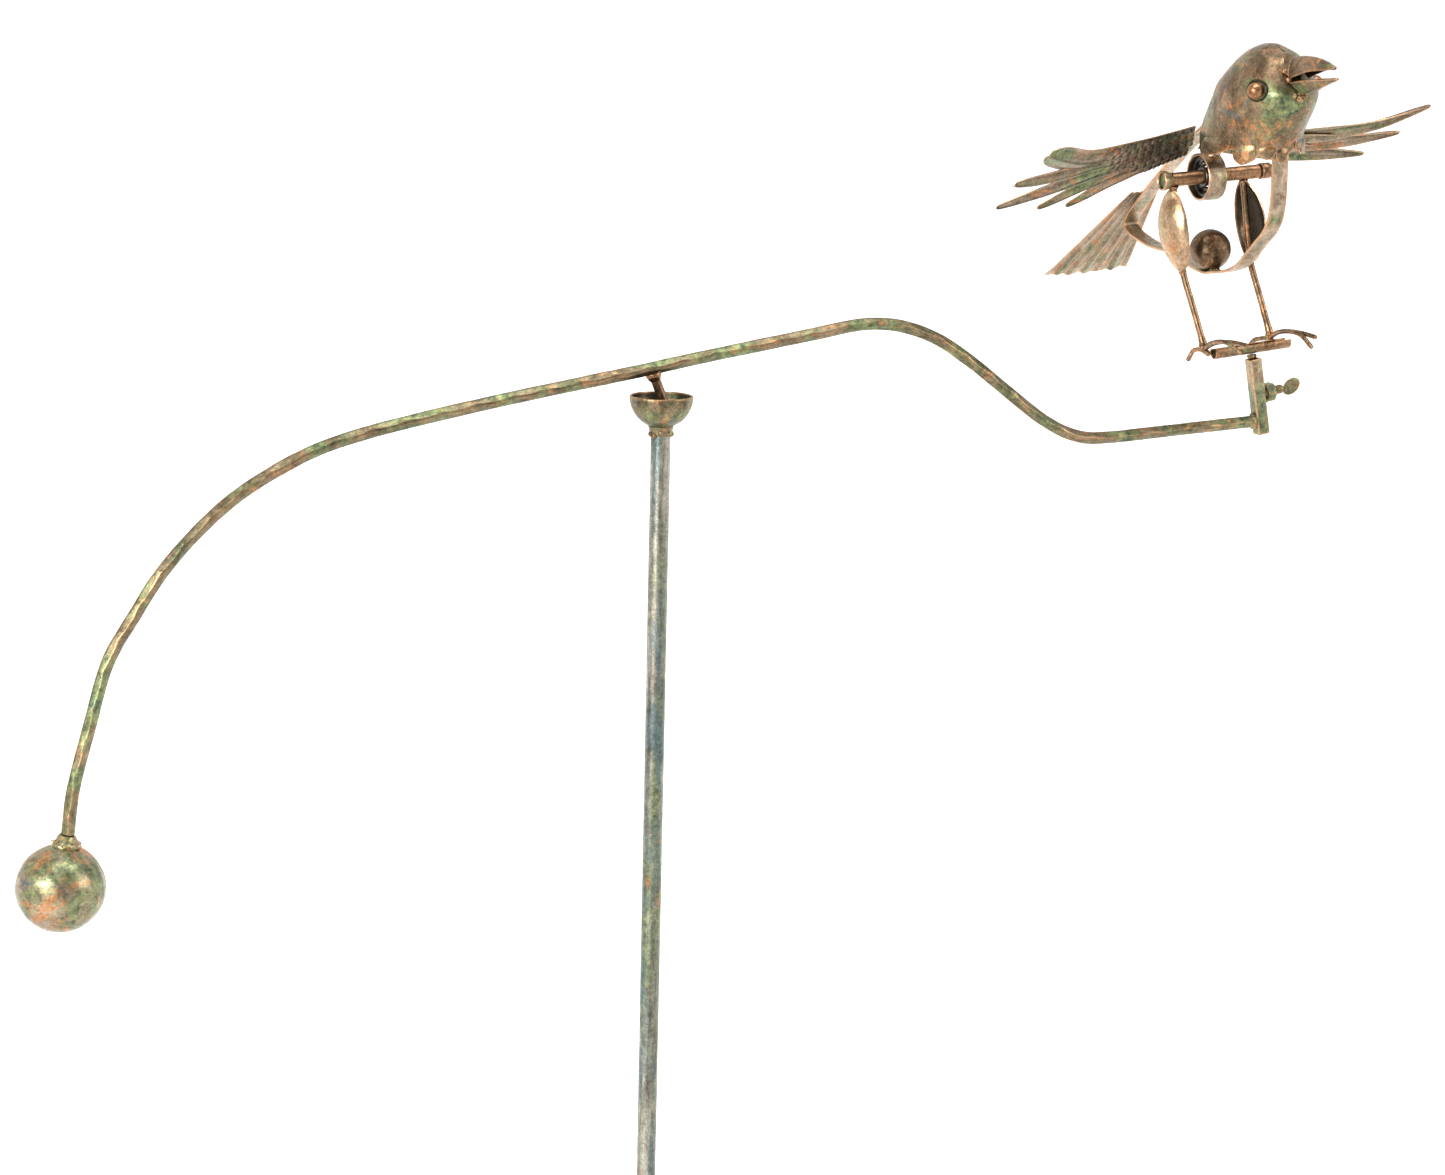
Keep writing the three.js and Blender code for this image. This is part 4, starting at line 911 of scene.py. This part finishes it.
def build_head():
    for name, side in (("left", -1), ("right", 1)):
        def surface(s, t, name=name, side=side):
            degrees = 180 * t
            edge = between(HEAD_EDGE[name], degrees)[0]
            up = edge + (HEAD_TOP - edge) * math.sin(s * math.pi / 2)
            p = head_point(side, degrees, up)
            dent = lumps(p, 26, 0.9, side) + lumps(p, 9, 0.25, side)
            p = head_point(side, degrees, up, dent * smooth(min(t, 1 - t), 0, 0.05))
            p.x += side * 0.12
            return p

        def low_edge(s, t):
            return smooth(-s, -0.03, -0.004)

        # Darker along the front seam, in a patch on each side by the beak's root, and towards the back edge.
        def seam_and_dark_patches(s, t):
            seam = 0.85 * smooth(-t, -0.012, -0.004) * smooth(s, 0.5, 0.7)
            scorch = 0.55 * math.exp(-((t - 0.07) / 0.07) ** 2 - ((s - 0.5) / 0.07) ** 2)
            return max(seam, scorch, 0.4 * smooth(t, 0.93, 1.0))

        sheet(f"head_{name}_look", surface, 0.9, 90, 170, "head", "bird", BIRD, [f"head_{name}"], 1.8,
              fade=low_edge, shade_and_grime=seam_and_dark_patches)
    build_petals()
    build_eyes()
    build_beak()


# Bearing from straight ahead, half spread, lower and upper height, and how far the tip stands out.
PETALS = [
    (-46, 14, 15.6, 36, 1.1), (-84, 24, 22.4, 40, 0.7), (-20, 12, 18.6, 33, 0.4),
    (-2, 9, 15.8, 30, 0.9), (42, 12, 19.6, 38, 0.9), (24, 9, 22.5, 36, 0.4), (72, 16, 22.6, 38, 0.6),
]


def build_petals():
    """Feather tips of the breast, lapped over each other round the lower edge."""
    for k, (degrees, spread, low, high, out) in enumerate(PETALS):
        def surface(s, t, degrees=degrees, spread=spread, low=low, high=high, out=out):
            over = 2 * t - 1
            open_share = math.sqrt(max(0.0, 1 - (1 - min(1.0, s / 0.55)) ** 2.2))
            angle = degrees + spread * over * (0.12 + 0.88 * open_share) * (1 - 0.25 * s)
            up = low + (high - low) * s + 1.2 * abs(over) * (1 - s)
            side = -1 if angle < 0 else 1
            away = out * (1 - s) + 0.7 + 0.7 * (1 - over * over) - 2.4 * smooth(s, 0.45, 0.95)
            return head_point(side, abs(angle), up, away)

        sheet(f"breast_petal_{k}", surface, 0.7, 40, 26, "head", "bird", BIRD, (), 1.3,
              fade=lambda s, t: 1 - smooth(s, 0.3, 0.55))


def build_eyes():
    for name, place, out in (("left", (-26.4, 110.2, 69.5), (-0.862, 0.507, 0.05)),
                             ("right", (33, 92.1, 69.5), (0.983, 0.185, 0.05))):
        frame_of_eye = BIRD @ frame_from(bird(*place), bird(*out).normalized())
        profile = [[0, -1.9], [5.0, -1.9], [5.7, -1.5]]
        profile += [[6 * math.cos(a), 6 * math.sin(a)] for a in (math.pi / 2 * i / 18 for i in range(19))]
        turned(f"eye_{name}_look", profile, "eye", "bird", frame_of_eye, [f"eye_{name}"], 56)
        # A near-black ring round the eye's base: painted shade in its recess.
        ring = [[6.3, -2.2], [6.9, -1.5, 0.1], [7.7, -1.7], [8.4, -2.6], [6.3, -2.7], [6.3, -2.2]]
        turned(f"eye_shade_ring_{name}", ring, "painted_shade", "bird", frame_of_eye, (), 56, rough=0.5)


# Rows of a beak: forward at the middle, height of the ridge or keel, half width, then how far
# the sides fall or rise, and how far forward of the middle they stand.
UPPER_BEAK = [
    [0, 117, 91, 8, 15, 8], [0.2, 130, 92, 8.7, 12.8, 4], [0.5, 146.5, 92, 7.5, 9.2, 4],
    [0.8, 162, 89.6, 4.5, 5.6, 3.5], [1, 172.5, 86.3, 1.2, 1.2, 0],
]
LOWER_BEAK = [
    [0, 130, 65.8, 7.5, 8.6, -5.4], [0.3, 143, 68.6, 8, 7.8, -2], [0.7, 160, 73.2, 5, 4.4, 0],
    [1, 175, 77.5, 1.2, 0.9, 0],
]


def beak_point(rows, bend, s, over):
    """A point of a beak, s along it and over from -1 to 1 across it."""
    middle, ridge, half, fall, ahead = between(rows, s)
    up = ridge + bend * fall * abs(over) ** 1.4
    return bird(half * over, middle + ahead * over * over, up + lumps((over * 10, middle, 0), 12, 0.25, bend))


def build_beak():
    # One face of each beak half is blackened.
    for name, rows, bend in (("upper", UPPER_BEAK, -1), ("lower", LOWER_BEAK, 1)):
        sheet(f"beak_{name}_look", lambda s, t, r=rows, b=bend: beak_point(r, b, s, 2 * t - 1), 0.9, 56, 44,
              "beak", "bird", BIRD, [f"beak_{name}"], 1.1, shade_and_soot=(0.9, 0.0) if bend > 0 else (0.0, 0.9))

    def flap(s, t):
        """The upper beak's root, flattened back onto the forehead."""
        over = 2 * t - 1
        start = beak_point(UPPER_BEAK, -1, 0.02, over * 0.92)
        half = 9.5 - 2.5 * s
        end = bird(half * over, 101.5 + 3.5 * (1 - over * over), 94.0 - 6.5 * abs(over) ** 1.5)
        return start.lerp(end, s) + Vector((0, 0, 1.2 * math.sin(math.pi * s)))

    sheet("beak_flap", flap, 0.8, 16, 30, "beak", "bird", BIRD, (), 1.2)
    welds = ((-1.0, 127.5, 62.5, 2.6), (2.5, 128.5, 63.5, 2.0), (-4.0, 126.0, 65.0, 1.8),
             (-7.0, 122.5, 76.0, 1.7), (-8.0, 119.0, 82.0, 1.6), (6.5, 123.0, 70.0, 1.8))
    for k, (lateral, forward, up, size) in enumerate(welds):
        at = bird(lateral, forward, up)
        blob(f"beak_weld_{k}", at, (size, size, size), "beak", "bird", BIRD, k + 2.5, 0.4, 0.4)


# Tail --------------------------------------------------------------------------------------------

PLEATS = 6
CREST = 0.62  # where a pleat's crest is, as a share of its width


def build_tail():
    root = bird(0, -105.8, -20.1)
    along = bird(0, -106.7, -73.1).normalized()
    normal = bird(0, -73.1, 106.7).normalized()

    def surface(s, t):
        over = 2 * t - 1
        step = 0.8 * math.sin(over * 13) + 0.6 * math.sin(over * 29 + 1)
        reach = s * (131.5 - 4 * over * over + step * s)
        half = 12.3 + 25.6 * s
        phase = (t * PLEATS) % 1.0
        wave = phase / CREST if phase < CREST else (1 - phase) / (1 - CREST)
        fold = (wave - 0.5) * (0.9 + 2.6 * s - 1.6 * smooth(s, 0.85, 1.0))
        return root + along * reach + normal * (fold + 1.2) + bird(over * half, 0, 0)

    def ridges(s, t):
        phase = (t * PLEATS) % 1.0
        return 0.75 * math.exp(-(((phase - CREST) / 0.05) ** 2))

    def valleys(s, t):
        # Painted shade on the falling face of each pleat, and darker towards the root.
        phase = (t * PLEATS) % 1.0
        return 0.34 * smooth(phase, CREST, 0.8) * (1 - smooth(phase, 0.94, 1.0)) + 0.25 * smooth(-s, -0.3, 0)

    sheet("tail_look", surface, 0.8, 60, 168, "tail", "bird", BIRD, ["tail"], 1.5, ridges, shade_and_grime=valleys)


# Wings -------------------------------------------------------------------------------------------

# Shaft points along the span and chord, width, how blunt the tip is, height, and taper.
NEAR_FEATHERS = [
    ([(2, 13), (60, 16), (110, 24), (158, 53)], 23, 4, 2.4, 0.0),
    ([(1, 9), (90, 12), (140, 17), (177, 25)], 18, 3, 1.2, 0.25),
    ([(0, 4), (90, 2), (140, 0), (183, 0)], 23, 1.6, 0, 0.45),
    ([(2, -1), (60, -5), (100, -11), (136, -21)], 20, 1.8, -1.2, 0.45),
    ([(3, -3), (40, -9), (75, -18), (105, -31)], 18, 1.8, -2.4, 0.45),
]
FAR_FEATHERS = [
    ([(2, 6), (80, -14), (140, -16), (181, -1)], 21, 1.8, 1.2, 0.65),
    ([(1, 0), (70, -22), (120, -34), (166, -36)], 24, 1.6, 0, 0.6),
    ([(0, -5), (60, -32), (100, -48), (144, -62)], 25, 1.6, -1.2, 0.6),
]


def wing_frame(side, tip):
    """X along the span, Y along the chord, from the wing's root at the axle's housing."""
    root = bird(side * 7.4, -22, 24)
    span = (tip - root).normalized()
    chord = bird(0, 0.8, 0.6)
    chord = (chord - span * chord.dot(span)).normalized()
    turn = Matrix((span, chord, span.cross(chord))).transposed().to_4x4()
    return BIRD @ Matrix.Translation(root) @ turn


SCALE_WIDTH = 4.2
SCALE_LENGTH = 8.0


def covert(s, over, half, length):
    """Height of the stamped scales at a spot: 1 at a scale's raised tip, and 0 round its outline."""
    across = over * half / SCALE_WIDTH
    along = (s * length / SCALE_LENGTH + 0.5 * (math.floor(across) % 2)) % 1.0
    bow = abs(across % 1.0 - 0.5)
    return max(0.0, (along - bow) / (1 - bow))


def feather(shaft, width, blunt, lift, taper, covert_end, shade):
    """The feather's surface, and its painted shade: how black its folds and scale outlines are, and how dark
    its root is.
    """
    steps = 120
    line = curve_through([(x, y, 0) for x, y in shaft], steps)
    line_length = (line[1] - line[0]).length * steps

    def half_width(s):
        swell = min(1, 0.55 + 0.8 * s) * (1 - taper * smooth(s, 0.4, 1.0))
        closing = max(0.0, 1 - max(0.0, (s - 0.75) / 0.25) ** blunt) ** 0.5
        return 0.6 + width / 2 * swell * closing, closing

    def surface(s, t):
        over = 2 * t - 1
        at = s * steps
        i = min(steps - 1, int(at))
        point = line[i].lerp(line[i + 1], at - i)
        tangent = (line[i + 1] - line[i]).normalized()
        half, closing = half_width(s)
        z = lift - 3.4 * (1 - abs(over)) * (0.2 + 0.8 * closing)
        z -= 0.8 * math.exp(-((over * half / 1.1) ** 2))
        z += 0.5 * math.sin(over * 7.5 + 3 * s) * closing * smooth(s, 0.3, 0.5)
        stamped = (1 - smooth(s, covert_end - 0.08, covert_end)) * (1 - smooth(abs(over), 0.6, 0.95))
        z -= 1.1 * stamped * covert(s, over, half, line_length)
        return Vector((point.x - tangent.y * over * half, point.y + tangent.x * over * half, z))

    # Painted shade: dark scale outlines and folds, and a darker root where the wing meets the body.
    def shade_and_grime(s, t):
        over = 2 * t - 1
        half = half_width(s)[0]
        stamped = 1 - smooth(s, covert_end - 0.08, covert_end)
        outline = stamped * (1 - smooth(covert(s, over, half, line_length), 0.0, 0.22))
        fold = math.exp(-((over * half / 1.0) ** 2)) + 0.6 * smooth(abs(math.sin(over * 7.5)), 0.93, 1.0)
        return min(0.9, max(0.75 * outline, 0.5 * fold, shade * (1 - smooth(s, 0.06, 0.5))))

    return surface, shade_and_grime


def build_wings():
    for name, side, tip, feathers in (("left", -1, bird(-185.5, 11, -6), NEAR_FEATHERS),
                                      ("right", 1, bird(185.5, 11, 39), FAR_FEATHERS)):
        place = wing_frame(side, tip)
        for k, blade in enumerate(feathers):
            old = [f"wing_{name}"] if k == 0 else ()
            covert_end = 0.58 - 0.04 * k if side < 0 else 0.3
            surface, shade_and_grime = feather(*blade, covert_end, 0.55 if side < 0 else 0.2)
            sheet(f"feather_{name}_{k}", surface, 0.8, 170, 30, "wing", "bird", place, old, 0.9, shade_and_grime=shade_and_grime)


# Plain pieces ------------------------------------------------------------------------------------

def build_plain_pieces():
    """The step bar, its spikes and the hidden pieces keep their plain shapes."""
    for name in ("step_bar", "centre_spike", "prong_left", "prong_right", "pole_spigot", "ball_ballast"):
        slot = {"pole_spigot": "steel", "ball_ballast": "ballast"}.get(name, "pole")
        nodes[name].data.materials.clear()
        nodes[name].data.materials.append(materials[slot])


# Camera, light and floor -------------------------------------------------------------------------

CAMERA_AT = (-0.7019, -1.9603, 1.5)
CAMERA_TURN = (20.963, 11.349, 1.4)  # to the right, down and rolled, in degrees
FOCAL_LENGTH = 74.7405


def build_camera():
    data = bpy.data.cameras.new("camera")
    data.sensor_width = 36
    data.lens = FOCAL_LENGTH
    data.clip_end = 100
    camera = bpy.data.objects.new("camera", data)
    bpy.context.scene.collection.objects.link(camera)
    yaw, pitch, roll = (math.radians(a) for a in CAMERA_TURN)
    forward = Vector((math.sin(yaw) * math.cos(pitch), math.cos(yaw) * math.cos(pitch), -math.sin(pitch)))
    right = Vector((math.cos(yaw), -math.sin(yaw), 0))
    down = forward.cross(right)
    turned_right = math.cos(roll) * right - math.sin(roll) * down
    turned_down = math.sin(roll) * right + math.cos(roll) * down
    camera.matrix_world = Matrix((turned_right, -turned_down, -forward)).transposed().to_4x4()
    camera.location = CAMERA_AT
    bpy.context.scene.camera = camera


def area_light(name, at, target, size, power, colour=(1, 1, 1)):
    data = bpy.data.lights.new(name, "AREA")
    data.shape = "RECTANGLE"
    data.size, data.size_y = size
    data.energy = power
    data.color = colour
    lamp = bpy.data.objects.new(name, data)
    bpy.context.scene.collection.objects.link(lamp)
    lamp.matrix_world = frame_from(at, Vector(at) - Vector(target))


BACKDROP_SIDE = (0.358, 0.934, 0)  # the backdrop is brightest on this side


def towards_backdrop(n, coordinates):
    """A value that grows towards the backdrop's side, ready for its two ends to be set."""
    along = n.add("ShaderNodeVectorMath", operation="DOT_PRODUCT")
    n.link(coordinates, along.inputs[0])
    along.inputs[1].default_value = BACKDROP_SIDE
    spread = n.add("ShaderNodeMapRange", interpolation_type="SMOOTHSTEP")
    n.link(along.outputs["Value"], spread.inputs["Value"])
    return spread


def build_stage():
    floor = bpy.data.meshes.new("floor")
    corners = [(-40, -40, 0), (40, -40, 0), (40, 40, 0), (-40, 40, 0)]
    floor.from_pydata(corners, [], [(0, 1, 2, 3)])
    ground = bpy.data.objects.new("floor", floor)
    bpy.context.scene.collection.objects.link(ground)
    n = Material("pale_floor")
    pale = n.ramp(n.noise(3, 3), [(0.3, (0.86, 0.86, 0.86)), (0.7, (0.90, 0.90, 0.90))])
    n.link(pale, n.shader.inputs["Base Color"])
    n.shader.inputs["Roughness"].default_value = 0.9
    n.shader.inputs["Emission Color"].default_value = (1, 1, 1, 1)
    glow = towards_backdrop(n, n.place)
    glow.inputs["From Min"].default_value = 0.3
    glow.inputs["From Max"].default_value = 1.2
    glow.inputs["To Max"].default_value = 0.85
    n.link(glow.outputs["Result"], n.shader.inputs["Emission Strength"])
    floor.materials.append(n.material)

    world = bpy.data.worlds.new("studio")
    world.use_nodes = True
    w = Nodes(world.node_tree)
    direction = w.add("ShaderNodeTexCoord").outputs["Generated"]
    room = towards_backdrop(w, direction)
    room.inputs["From Min"].default_value = -0.75
    room.inputs["From Max"].default_value = 0.15
    room.inputs["To Min"].default_value = 0.3
    room.inputs["To Max"].default_value = 1.02
    background = world.node_tree.nodes["Background"]
    background.inputs["Color"].default_value = (1, 1, 1, 1)
    w.link(room.outputs["Result"], background.inputs["Strength"])
    bpy.context.scene.world = world
    middle = (0.1, 0, 1.25)
    area_light("fill_right", (2.3, -1.9, 2.0), middle, (1.4, 1.8), 30)
    area_light("key_left", (-2.3, -1.5, 1.75), middle, (1.1, 1.7), 95)
    area_light("top", (0.0, -0.6, 3.3), middle, (2.2, 0.9), 30)
    bpy.context.scene.view_settings.view_transform = "Standard"
    bpy.context.scene.view_settings.look = "None"


build_camera()
build_stage()
build_stake()
build_arm()
build_pin()
build_ball()
build_clamp()
build_perch()
build_bearing()
build_strap()
build_head()
build_tail()
build_wings()
build_plain_pieces()
